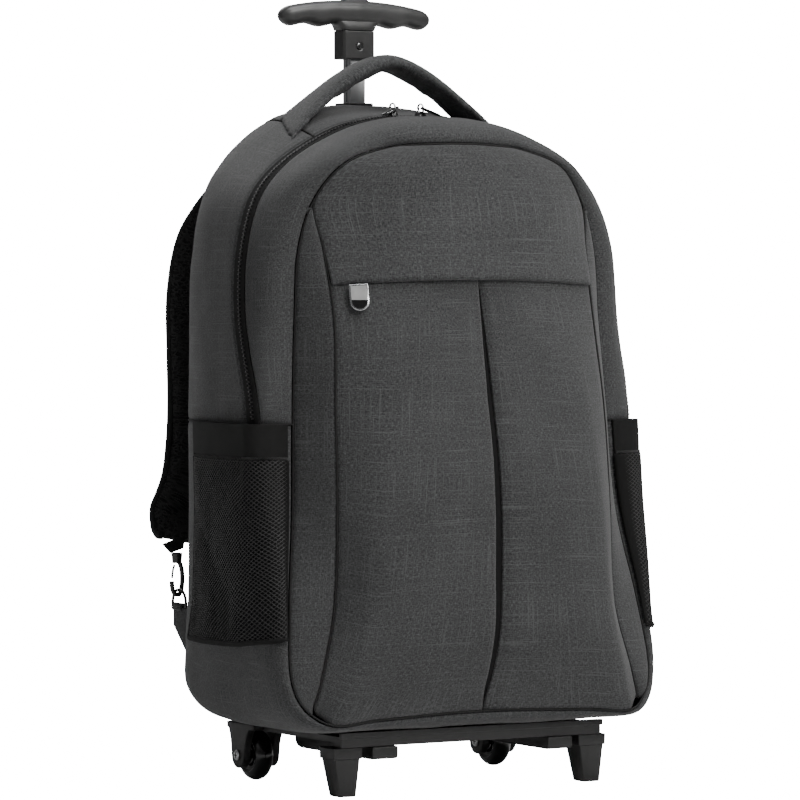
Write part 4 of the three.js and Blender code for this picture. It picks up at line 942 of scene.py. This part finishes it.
def addZipperTeeth():
    dense = np.linspace(zipEnd, last, 3000)
    line = bagSide(dense, tapeEdgeMiddle(dense))
    length = walk(line)
    spots = np.interp(np.arange(4, length[-1] - 4, zipper["pitch"]), length, dense)
    point, normal, across = skinLine(spots, tapeEdgeMiddle(spots), zipper["proud"] * 0.4)
    paths = []
    for i, (place, out, way) in enumerate(zip(point, normal, across)):
        side = 1 if i % 2 else -1
        half = zipper["tooth"] / 2
        reach = np.array((-0.25, 0.35, 0.8, 1.0)) * half * side
        lift = np.array((0.1, 0.35, 0.3, -0.35)) * zipper["proud"]
        paths.append(place + way * reach[:, None] + out * lift[:, None])
    tubes("zipperTeeth", paths, zipper["radius"], 0, "teeth")


def tapeEdgeMiddle(section):
    low, high = tapeEdge(section, -form["tapeFront"]), tapeEdge(section, form["tapeRear"])
    return low + (high - low) * 0.5


addZipperTeeth()


def stitchRow(path, normals):
    length = walk(path)
    starts = np.arange(2, length[-1] - 3, thread["length"] + thread["gap"])
    at = lambda place, values: np.stack([np.interp(place, length, values[:, i]) for i in range(3)], -1)
    rows = []
    for start in starts:
        share = start + np.array((0, 0.5, 1)) * thread["length"]
        lift = thread["proud"] + np.array((-0.25, 0.12, -0.25))
        rows.append(at(share, path) + at(share, normals) * lift[:, None])
    return rows


def addZipperStitching():
    rows = []
    dense = np.linspace(zipEnd, last, 900)
    for way, offset in ((-form["tapeFront"], -thread["beside"]), (form["tapeRear"], thread["beside"])):
        s = tapeEdge(dense, way) + offset * (tapeEdge(dense, way) - 1) / way
        path, normal, _ = skinLine(dense, s)
        rows += stitchRow(path, normal)
    tubes("zipperStitching", rows, thread["radius"], 0, "stitch")


addZipperStitching()
print("seams and zipper")


# Bottle pockets: elastic band, knotted net and its bindings
pockets = {"bandHeight": 29, "bandStand": 5, "bandWall": 2, "netWall": 1.2, "seat": 0.55, "bulge": 8.4,
           "footFront": 132, "footRear": 116, "diamondWide": 5.4, "diamondTall": 3.5, "strand": 0.44,
           "slack": 1.3, "netShade": 0.9}
sideSections = np.linspace(3, 9, 200)
sideHeights = onLoop("zip", sideSections)[:, 2]


def pocketSkin(side, stand):
    def surface(u, height):
        u, height = np.broadcast_arrays(u, height)
        section = np.interp(height, sideHeights, sideSections)
        point, normal, _ = skinLine(section, 0.1 + 1.42 * u)
        point = point + normal * stand(u, height)[..., None]
        point[..., 0] *= side
        return point
    return surface


bandFoot = form["pocketTop"] - pockets["bandHeight"]


def bandSurface(side):
    seated = pockets["bandWall"] + pockets["seat"]
    skin = pocketSkin(side, lambda u, height: seated + pockets["bandStand"] * np.sin(math.pi * u))
    return lambda u, v: skin(u, bandFoot + pockets["bandHeight"] * v)


def netSurface(side):
    def surface(u, v):
        u, v = np.broadcast_arrays(u, v)
        foot = pockets["footFront"] + (pockets["footRear"] - pockets["footFront"]) * u
        slack = np.maximum(0, np.sin(math.pi * (0.08 + 0.64 * v))) ** 0.8
        reach = pockets["bulge"] * slack * np.maximum(0, np.sin(math.pi * np.clip(u, 0, 1))) ** 0.7
        stand = lambda a, b: pockets["netWall"] / 2 + pockets["seat"] + reach
        return pocketSkin(side, stand)(u, foot + (bandFoot - foot) * v)
    return surface


def addNet(side, label):
    surface = netSurface(side)
    dense = np.linspace(0, 1, 200)
    wide, tall = walk(surface(dense, 0.5)), walk(surface(0.5, dense))
    columns = int(round(wide[-1] / pockets["diamondWide"])) * 2
    rows = int(round(tall[-1] / pockets["diamondTall"])) * 2
    i, j = np.meshgrid(np.arange(columns + 1), np.arange(rows + 1), indexing="ij")
    u = i / columns
    v = j / rows
    drift = np.stack((u * 5, v * 4, np.full_like(u, side * 3.0)), -1)
    rim = np.minimum(1, np.minimum(np.minimum(u, 1 - u), np.minimum(v, 1 - v)) * 8)
    bendU = np.clip(u + rim * 0.016 * noise(drift, 41) + 0.05 * rim * np.sin(math.pi * u) * (0.5 - v), 0, 1)
    bendV = np.clip(v + rim * 0.018 * noise(drift + 9, 42), 0, 1)
    grid = surface(np.interp(bendU, wide / wide[-1], dense), bendV)
    folds = noise(np.stack((bendU * 9, bendV * 1.6, np.full_like(u, 2.0)), -1), 43)
    outward = np.array((side, 0, 0))
    grid = grid + outward * (rim * pockets["slack"] * np.minimum(folds, 0.4))[..., None]
    paths = []
    for way in (1, -1):
        for start in range(-rows, columns + rows + 1, 2):
            a = np.arange(columns + 1)
            b = (a - start) * way
            keep = (b >= 0) & (b <= rows)
            if keep.sum() > 1:
                paths.append(grid[a[keep], b[keep]])
    piece = tubes(f"net{label}", paths, pockets["strand"], 0, "yarn")
    # a black sheet just inside the net paints the shade behind it
    netShade = addGrid(f"netShadeSheet{label}", grid - outward * pockets["netShade"], "netShade")
    wall = netShade.modifiers.new("wall", "SOLIDIFY")
    wall.thickness = 0.0003
    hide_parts(f"side_pocket_net_{label.lower()}")
    run = np.linspace(0, 1, 90)
    ribbon(f"netHem{label}", surface(run, np.zeros(90)), (side, 0, -0.4), 4.4, 2.4, "elastic")
    ribbon(f"netBinding{label}", surface(np.ones(90), run), (side, 0.35, 0), 6, 2, "elastic")


def addBand(side, label):
    surface = bandSurface(side)
    clothPanel(f"band{label}", f"side_pocket_band_{label.lower()}", surface, "elastic", "band",
               seams=(1, 1, 0, 0), seed=20 + side, sink=0.6, pucker=0.15, crease=0.5,
               hem=pockets["bandWall"], cell=4)
    run = np.linspace(0.02, 0.98, 240)
    zigzag = 0.05 + 0.045 * np.where(np.arange(240) % 2, 1, -1)
    rows = surface(run, zigzag)
    out = pocketSkin(side, lambda u, height: np.zeros_like(u))
    lift = unit(rows - out(run, bandFoot + pockets["bandHeight"] * zigzag)) * 0.25
    tubes(f"bandStitch{label}", [rows + lift], 0.3, 0, "stitch")


for side, label in ((-1, "Left"), (1, "Right")):
    addBand(side, label)
    addNet(side, label)
print("bottle pockets")


# Padded pieces: a loft that is remeshed and blown up by the cloth simulation
def coordinatesOf(mesh):
    values = np.zeros(len(mesh.vertices) * 3)
    mesh.vertices.foreach_get("co", values)
    return values.reshape(-1, 3)


def swapMesh(piece, mesh):
    old = piece.data
    piece.modifiers.clear()
    piece.data = mesh
    bpy.data.meshes.remove(old)


def remeshed(piece, voxel, smooth):
    merge = piece.modifiers.new("remesh", "REMESH")
    merge.mode = "VOXEL"
    merge.voxel_size = voxel
    relax = piece.modifiers.new("relax", "SMOOTH")
    relax.factor = 0.5
    relax.iterations = smooth
    finish = piece.data.materials[0]
    mesh = evaluatedMesh(piece)
    swapMesh(piece, mesh)
    if not mesh.materials:
        mesh.materials.append(finish)
    mesh.polygons.foreach_set("use_smooth", [True] * len(mesh.polygons))


padding = {"quality": 6, "mass": 0.3, "stretch": 25, "bend": 2, "frames": 20}


def inflated(piece, pressure, cap, pinned):
    group = piece.vertex_groups.new(name="pinned")
    start = coordinatesOf(piece.data)
    group.add([int(i) for i in np.nonzero(pinned(start))[0]], 1.0, "REPLACE")
    simulated = piece.modifiers.new("cloth", "CLOTH")
    settings = simulated.settings
    settings.quality = padding["quality"]
    settings.mass = padding["mass"]
    settings.tension_stiffness = settings.compression_stiffness = padding["stretch"]
    settings.bending_stiffness = padding["bend"]
    settings.use_pressure = True
    settings.uniform_pressure_force = pressure
    settings.vertex_group_mass = "pinned"
    settings.effector_weights.gravity = 0
    simulated.point_cache.frame_end = padding["frames"]
    for number in range(1, padding["frames"] + 1):
        bpy.context.scene.frame_set(number)
    mesh = evaluatedMesh(piece)
    moved = coordinatesOf(mesh) - start
    length = np.linalg.norm(moved, axis=1, keepdims=True)
    capped = start + moved * np.minimum(1, cap / np.maximum(length, 1e-9))
    mesh.vertices.foreach_set("co", capped.ravel())
    swapMesh(piece, mesh)
    bpy.context.scene.frame_set(1)


def unwrapAlong(piece, line):  # cloth map: distance along the middle line and round it
    line = toMetres(line)
    points = coordinatesOf(piece.data)
    gaps = np.linalg.norm(points[:, None] - line[None], axis=2)
    near = np.argmin(gaps, axis=1)
    ahead = unit(np.gradient(line, axis=0))[near]
    side = unit(np.cross(ahead, np.array((0.02, 0.05, 1.0))))
    away = points - line[near]
    width = np.sum(away * side, 1)
    other = np.sum(away * np.cross(side, ahead), 1)
    along = walk(line)[near] + np.sum(away * ahead, 1)
    mesh = piece.data
    layer = mesh.uv_layers.get("cloth") or mesh.uv_layers.new(name="cloth")
    corners = np.zeros(len(mesh.loops), int)
    mesh.loops.foreach_get("vertex_index", corners)
    starts = np.zeros(len(mesh.polygons), int)
    mesh.polygons.foreach_get("loop_start", starts)
    counts = np.zeros(len(mesh.polygons), int)
    mesh.polygons.foreach_get("loop_total", counts)
    first = np.repeat(corners[starts], counts)
    uvs = np.stack((along[corners], np.where((other < 0)[first], 0.13, 0) + width[corners]), -1)
    layer.data.foreach_set("uv", uvs.ravel())


# Shoulder straps
strap = {"width": 67, "thick": 14, "reach": 76.5, "voxel": 0.0045, "pressure": 3.2, "cap": 0.004,
         "slim": 0.82, "edge": 3.8}
strapRows = [  # across, reach behind the bag, up, width
    (0.31, -0.026, 0.878, 0.82), (0.365, 0.144, 0.872, 0.92), (0.42, 0.288, 0.855, 1), (0.48, 0.48, 0.822, 1),
    (0.525, 0.704, 0.775, 1), (0.535, 0.92, 0.69, 1), (0.522, 1, 0.595, 1), (0.518, 1, 0.51, 1),
    (0.532, 0.96, 0.44, 1), (0.572, 0.848, 0.38, 1), (0.655, 0.752, 0.315, 0.98), (0.7, 0.6, 0.292, 0.8),
    (0.74, 0.46, 0.288, 0.5),
]


def addStrap(side, label):
    half = strap["thick"] / 2
    reach = strap["reach"] - half
    knots = [(side * row[0] * form["width"] / 2, form["backPlane"] + half + row[1] * (reach - half),
              form["base"] + row[2] * form["height"]) for row in strapRows]
    line = spline(knots, False, 8)
    share = np.linspace(0, 1, len(line))
    ahead = unit(np.gradient(line, axis=0))
    thick = unit(np.cross((side, 0, 0), ahead))
    wide = unit(np.cross(ahead, thick))
    knotShare = np.linspace(0, 1, len(strapRows))
    widths = np.interp(share, knotShare, [row[3] for row in strapRows]) * strap["width"]
    ease = np.minimum(1, 0.45 + np.minimum(share, 1 - share) * 8) * strap["slim"]
    rings = np.array([pill(line[i], wide[i], thick[i], widths[i] - 1, strap["thick"] * ease[i])
                      for i in range(len(line))])
    rings[..., 1] = np.maximum(rings[..., 1], form["backPlane"] + 0.8)
    piece = loft(f"strap{label}", rings, "airMesh")
    remeshed(piece, strap["voxel"], 2)
    foot = toMetres(line[-1:])[0]
    head = toMetres(line[:1])[0]
    near = lambda points: (np.linalg.norm(points - foot, axis=1) < 0.018) | (points[:, 1] < head[1] + 0.004)
    inflated(piece, strap["pressure"], strap["cap"], near)
    unwrapAlong(piece, line)
    subdivide(piece)
    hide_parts(f"shoulder_strap_{label.lower()}")
    keep = line[:, 1] > form["backPlane"] + 4
    for way, place in ((-1, "Inner"), (1, "Outer")):
        edge = line[keep] + wide[keep] * (way * side * (widths[keep] / 2 - strap["edge"]))[:, None]
        ribbon(f"strapBinding{place}{label}", edge, thick[keep], 5.0, 7.0, "webbing")


for side, label in ((-1, "Left"), (1, "Right")):
    addStrap(side, label)
print("straps")


# Carrying handle
haul = {"span": 2 * form["haulHalf"], "rise": 50, "seat": 15, "bend": 1.5, "width": 37, "footWidth": 58,
        "thick": 14, "footThick": 6.5, "depth": -52, "flare": 0.62, "turn": 0.24, "reach": 1.1,
        "voxel": 0.0035, "pressure": 3.0, "cap": 0.003, "slim": 1.05, "ripple": 0.0009}


def haulLine(share):
    foot = onLoop("zip", haulSection)[2] + haul["seat"]
    return np.stack((share * haul["span"] / 2, np.full_like(share, haul["depth"]),
                     foot + haul["rise"] * (1 - np.abs(share) ** haul["bend"])), -1)


def haulRings(share):
    line, far = haulLine(share), np.abs(share)
    ahead = unit(haulLine(share + 0.01) - haulLine(share - 0.01))
    spread = np.maximum(0, (far - haul["flare"]) / (1 - haul["flare"])) ** 1.6
    turn = np.sign(share) * haul["turn"] * spread
    wide = unit(np.stack((-turn, np.ones_like(turn), np.abs(turn)), -1))
    thick = unit(np.cross(wide, ahead))
    width = haul["width"] + (haul["footWidth"] - haul["width"]) * spread
    deep = (haul["thick"] + (haul["footThick"] - haul["thick"]) * far ** 2.5) * haul["slim"]
    return line, wide, thick, width, deep


def addHaulHandle():
    share = np.linspace(-haul["reach"], haul["reach"], 67)
    line, wide, thick, width, deep = haulRings(share)
    rings = [pill(line[i], wide[i], thick[i], width[i], deep[i], 24, 2.6) for i in range(len(line))]
    piece = loft("haulHandle", rings, "melange")
    remeshed(piece, haul["voxel"], 2)
    low = toMetres(line[:1])[0][2] + 0.008
    inflated(piece, haul["pressure"], haul["cap"], lambda points: points[:, 2] < low)
    points = coordinatesOf(piece.data)
    metres = points * 1000
    ripple = noise(np.stack((metres[:, 0] / 7, metres[:, 1] / 60, metres[:, 2] / 30), -1), 51)
    core = np.array([line[np.argmin(np.abs(line[:, 0] - x)), 2] for x in metres[:, 0]])
    points[:, 2] += haul["ripple"] * ripple * np.clip((core - metres[:, 2]) / 6, 0, 1)
    piece.data.vertices.foreach_set("co", points.ravel())
    unwrapAlong(piece, line)
    subdivide(piece)
    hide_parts("haul_handle")


addHaulHandle()
print("carrying handle")


# Hard pieces. Most are the CAD's own shape with its edges rounded by a bevel
sides = (("left", -1), ("right", 1))
beveled = {  # node: finish, slot, body, rounding in millimetres
    "pole": ("pole", "pole_metal", "trolley", 0.6),
    "tube_collar": ("black", "plastic", "bag", 1.0),
    "base_tray": ("black", "plastic", "bag", 1.3),
    "front_slider": ("gate", "plastic", "bag", 0.5),
    **{f"front_foot_{label}": ("black", "plastic", "bag", 0.8) for label, _ in sides},
    **{f"skid_rail_{label}": ("black", "plastic", "bag", 1.4) for label, _ in sides},
    **{f"strap_webbing_{label}": ("webbing", "webbing", "bag", 0.5) for label, _ in sides},
    **{f"ring_tab_{label}": ("melangeDark", "cloth", "bag", 0.9) for label, _ in sides},
    **{f"main_pull_{label}": ("nickel", "pull_metal", "bag", 0.45) for label, _ in sides},
}
moulded = {  # node: finish, slot, body, grain of the new skin in millimetres, smoothing
    "handle_collar": ("grip", "grip", "trolley", 0.5, 6),
    **{f"snap_hook_{label}": ("hook", "plastic", "bag", 0.45, 5) for label, _ in sides},
    **{f"snap_gate_{label}": ("gate", "gate_metal", f"gate_{label}", 0.3, 4) for label, _ in sides},
    **{f"d_ring_{label}": ("hook", "plastic", "bag", 0.4, 4) for label, _ in sides},
    **{f"wheel_fork_{label}": ("black", "plastic", "bag", 0.7, 4) for label, _ in sides},
    **{f"main_slider_{label}": ("gate", "zipper", "bag", 0.3, 3) for label, _ in sides},
}
metre = 0.001  # what a millimetre is in the scene
edges = {"angle": 35.0, "segments": 3, "flat": 2}


def camel(node):
    first, *rest = node.split("_")
    return first + "".join(word.capitalize() for word in rest)


def nodeCopy(node):  # the CAD's loose triangles as one merged skin
    shape = bmesh.new()
    shape.from_mesh(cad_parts[node].data)
    bmesh.ops.remove_doubles(shape, verts=shape.verts, dist=1e-6)
    return shape


def boxMap(shape):  # cloth map from the two axes that a face lies along
    for layer in list(shape.loops.layers.uv.values()):
        shape.loops.layers.uv.remove(layer)
    layer = shape.loops.layers.uv.new("cloth")
    for face in shape.faces:
        away = max(range(3), key=lambda axis: abs(face.normal[axis]))
        a, b = ((1, 2), (0, 2), (0, 1))[away]
        for corner in face.loops:
            corner[layer].uv = (corner.vert.co[a], corner.vert.co[b])


def meshFrom(shape, name):
    mesh = bpy.data.meshes.new(name)
    shape.to_mesh(mesh)
    shape.free()
    return mesh


def roundEdges(piece, radius):
    bevel = piece.modifiers.new("edges", "BEVEL")
    bevel.width = radius * metre
    bevel.segments = edges["segments"]
    bevel.limit_method = "ANGLE"
    bevel.angle_limit = math.radians(edges["angle"])
    bevel.harden_normals = True


def flatCopy(node):  # the same, with each flat side as one face
    shape = nodeCopy(node)
    bmesh.ops.dissolve_limit(shape, angle_limit=math.radians(edges["flat"]), verts=shape.verts,
                             edges=shape.edges)
    return shape


def addBeveled(node, finish, slot, body, radius):
    shape = flatCopy(node)
    boxMap(shape)
    piece = settle(camel(node), meshFrom(shape, camel(node)), finish, body)
    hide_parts(node)
    roundEdges(piece, radius)


def addMoulded(node, finish, slot, body, grain, smooth):
    piece = settle(camel(node), meshFrom(nodeCopy(node), camel(node)), finish, body)
    remeshed(piece, grain * metre, smooth)
    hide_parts(node)


for node, values in beveled.items():
    addBeveled(node, *values)
for node, values in moulded.items():
    addMoulded(node, *values)
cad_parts["guide_tube"].data.materials.clear()
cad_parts["guide_tube"].data.materials.append(finishes["pole"])
print("hard pieces")


# T grip with its neck, push button and collar screw
grip = {"length": 146, "depth": 21, "height": 26, "sag": 8, "finger": 2.4, "neckRise": 9, "neckFlare": 16,
        "button": 24, "buttonWide": 9, "proud": 2.5, "skirt": 4, "screw": 3}
collarLow, collarHigh = (np.array(corner) * 1000 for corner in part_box("handle_collar"))
east, north, upward = np.eye(3)


def gripRing(across):
    share = abs(across) / (grip["length"] / 2)
    end = math.sqrt(max(0, 1 - max(0, (share - 0.86) / 0.1402) ** 2))
    base = collarHigh[2]
    top = base + grip["height"] - grip["sag"] * share ** 2.2
    blend = min(1, max(0, (share - 0.2) / 0.12))
    wave = grip["finger"] * 0.5 * math.sin(share * math.pi * 5.2)
    bottom = base + 4 - wave * blend * blend * (3 - 2 * blend)
    shrink = 0.16 + 0.84 * end
    depth = grip["depth"] * (1 - 0.2 * share) * shrink
    centre = np.array((across, 0, (top + bottom) / 2))
    return pill(centre, north, upward, depth, (top - bottom) * shrink, 36, 2.4)


def stack(name, levels, finish, body, roundness=5):  # rounded oblong rings, one above the other
    rings = [pill(np.array((0, 0, height)), east, north, width, depth, 48, roundness)
             for height, width, depth in levels]
    return loft(name, rings, finish, body)


def addGrip():
    share = np.sin(np.linspace(-math.pi / 2, math.pi / 2, 121))
    spread = 0.35 * share + 0.65 * np.linspace(-1, 1, 121)
    bar = loft("tGrip", [gripRing(x * grip["length"] / 2) for x in spread], "grip", "trolley")
    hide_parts("t_grip")
    top, wide, deep = collarHigh[2], collarHigh[0] - collarLow[0], collarHigh[1] - collarLow[1]
    stack("gripNeck", [(top + 0.3, wide + 1.2, deep + 0.4), (top + 0.9, wide + 2.2, deep + 1.2),
                       (top + 3, wide + 4, deep + 1.1), (top + 5, wide + 6.5, deep + 0.4),
                       (top + 7, wide + 10.5, deep - 0.8),
                       (top + grip["neckRise"], wide + grip["neckFlare"], deep - 2.2)],
          "grip", "trolley")
    crest = top + grip["height"]
    long, narrow, proud = grip["button"], grip["buttonWide"], grip["proud"]
    stack("buttonWell", [(crest - 3, long + 1.4, narrow + 1.4), (crest + 0.12, long + 1.4, narrow + 1.4)],
          "black", "trolley")
    button = stack("releaseButton", [
        (crest - grip["skirt"], long, narrow), (crest + proud - 1, long, narrow),
        (crest + proud - 0.5, long - 0.3, narrow - 0.3), (crest + proud - 0.15, long - 1, narrow - 1),
        (crest + proud, long - 2.2, narrow - 2.2), (crest + proud + 0.05, long - 6, narrow - 5)],
        "button", "button")
    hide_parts("release_button")


def cross(name, middle, span, bar, depth, axis, body):  # a screw's cross recess, as two black bars: painted shade inside the recess
    shape = bmesh.new()
    for way in (0, 1):
        made = bmesh.ops.create_cube(shape, size=1)["verts"]
        size = [bar, bar, bar]
        size[axis] = depth
        size[[i for i in range(3) if i != axis][way]] = span
        bmesh.ops.scale(shape, vec=Vector(size) * metre, verts=made)
    bmesh.ops.translate(shape, vec=Vector(toMetres(middle)), verts=shape.verts)
    return settle(name, meshFrom(shape, name), "black", body, smooth=False)


def lathed(name, profile, centre, way, finish, body, steps=64):  # radius and height, turned
    shape = bmesh.new()
    side = Vector((0, 0, 1)) if abs(way[2]) < 0.5 else Vector((1, 0, 0))
    middle = Vector(toMetres(centre))
    chain = [shape.verts.new(middle + Vector(way) * (rise * metre) + side * (radius * metre))
             for radius, rise in profile]
    lines = [shape.edges.new(pair) for pair in zip(chain, chain[1:])]
    bmesh.ops.spin(shape, geom=chain + lines, cent=middle, axis=way, dvec=(0, 0, 0), angle=2 * math.pi,
                   steps=steps, use_merge=True, use_duplicate=False)
    bmesh.ops.remove_doubles(shape, verts=shape.verts, dist=1e-7)
    bmesh.ops.recalc_face_normals(shape, faces=shape.faces)
    return settle(name, meshFrom(shape, name), finish, body)


def addCollarScrew():
    low, high = (np.array(corner) * 1000 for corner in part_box("collar_screw"))
    middle = np.array(((low[0] + high[0]) / 2, low[1] - depthShift * 1000, (low[2] + high[2]) / 2))
    radius = grip["screw"]
    screw = lathed("collarScrew", [(0, 0.06), (radius * 0.55, 0), (radius * 0.9, -0.2), (radius, -0.5),
                                   (radius, -1), (0, -1)],
                   middle, (0, -1, 0), "gate", "trolley")
    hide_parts("collar_screw")
    cross("collarScrewCross", middle, radius * 1.25, 0.75, 0.3, 1, "trolley")


addGrip()
addCollarScrew()
print("grip")


# Wheels and their axles, turned on the axle's line
wheel = {"radius": 21.5, "width": 17, "bore": 3.3, "head": 4.4}


def addWheel(label, side):
    low, high = (np.array(corner) * 1000 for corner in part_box(f"wheel_{label}"))
    centre = (low + high) / 2 - np.array((0, depthShift * 1000, 0))
    radius, half = wheel["radius"], wheel["width"] / 2
    tread = [(radius - half + half * math.cos(a), half * math.sin(a))
             for a in np.radians(np.linspace(-78, 78, 21))]
    hub = [(wheel["bore"], half - 2), (radius * 0.3, half - 2), (radius * 0.33, half - 1.3),
           (radius * 0.52, half - 1.2), (radius * 0.56, half - 1.7), (radius * 0.6, half - 1.6),
           (radius * 0.64, half - 0.2)]
    profile = [(r, -x) for r, x in hub] + tread + hub[::-1]
    piece = lathed(f"wheel{label.capitalize()}", profile + profile[:1], centre, (1, 0, 0), "wheel",
                   f"wheel_{label}", 72)
    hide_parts(f"wheel_{label}")
    low, high = (np.array(corner) * 1000 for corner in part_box(f"axle_{label}"))
    end, head = (high[0] - low[0]) / 2, wheel["head"]
    inner = end - 1.6
    outline = [(0, 0), (head * 0.6, -0.1), (head * 0.88, -0.4), (head, -0.95), (head, -1.6)]
    arm = [(r, end + x) for r, x in outline] + [(3, inner)]
    axle = lathed(f"axle{label.capitalize()}", arm + [(r, -x) for r, x in arm[::-1]],
                  ((low[0] + high[0]) / 2, centre[1], centre[2]), (1, 0, 0), "zinc", "bag", 40)
    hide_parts(f"axle_{label}")
    outer, inward = (high[0], low[0]) if side > 0 else (low[0], high[0])
    for face, place in (("Outer", outer), ("Inner", inward)):
        cross(f"axleCross{face}{label.capitalize()}", np.array((place, centre[1], centre[2])), head * 1.1,
              0.9, 0.3, 0, "bag")


for label, side in sides:
    addWheel(label, side)
print("wheels")


# Zipper rings, each wound twice, and the front pull's face
coil = {"radius": 4.2, "wire": 0.62, "turns": 2.05, "pitch": 1.15}
pull = {"rim": 1.35, "proud": 0.25, "foot": 0.62, "seat": 0.05}


def addCoil(label):
    low, high = (np.array(corner) * 1000 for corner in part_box(f"pull_ring_{label}"))
    centre = (low + high) / 2 - np.array((0, depthShift * 1000, 0))
    angle = np.linspace(0, 2 * math.pi * coil["turns"], 90)
    aside = (angle / angle[-1] - 0.5) * coil["pitch"] * coil["turns"] * 0.6
    path = centre + np.stack((aside, coil["radius"] * np.cos(angle), coil["radius"] * np.sin(angle)), -1)
    piece = tubes(f"pullRing{label.capitalize()}", [path], coil["wire"], 3, "nickel")
    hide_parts(f"pull_ring_{label}")


def addPullTab():
    addBeveled("front_pull_tab", "nickel", "pull_metal", "front_pull", 0.4)
    shape = flatCopy("front_pull_tab")
    front = max(shape.faces, key=lambda face: face.calc_area() * (face.normal.y < 0))
    outward = front.normal.copy()
    bmesh.ops.delete(shape, geom=[face for face in shape.faces if face is not front], context="FACES")
    front = shape.faces[:][0]
    bmesh.ops.inset_region(shape, faces=[front], thickness=pull["rim"] * metre, depth=0,
                           use_boundary=True, use_even_offset=True)
    bmesh.ops.delete(shape, geom=[face for face in shape.faces if face is not front], context="FACES")
    heights = [vertex.co.z for vertex in shape.verts]
    split = max(heights) + (min(heights) - max(heights)) * pull["foot"]
    sloped = Vector((0, 0, 1)) - outward * outward.z
    middle = front.calc_center_median()
    level = middle + sloped * ((split - middle.z) / sloped.z)
    for name, finish, upper in (("pullFace", "wheel", False), ("pullPlate", "plate", True)):
        half = shape.copy()
        bmesh.ops.bisect_plane(half, geom=half.verts[:] + half.edges[:] + half.faces[:], plane_co=level,
                               plane_no=sloped, clear_inner=upper, clear_outer=not upper)
        raised = bmesh.ops.extrude_face_region(half, geom=half.faces[:])["geom"]
        bmesh.ops.translate(half, vec=outward * (pull["proud"] * metre),
                            verts=[part for part in raised if isinstance(part, bmesh.types.BMVert)])
        bmesh.ops.translate(half, vec=outward * (-pull["seat"] * metre), verts=half.verts)
        bmesh.ops.recalc_face_normals(half, faces=half.faces)
        settle(name, meshFrom(half, name), finish, "front_pull", smooth=False)
    shape.free()


for label, _ in sides:
    addCoil(label)
addPullTab()
print("pulls")
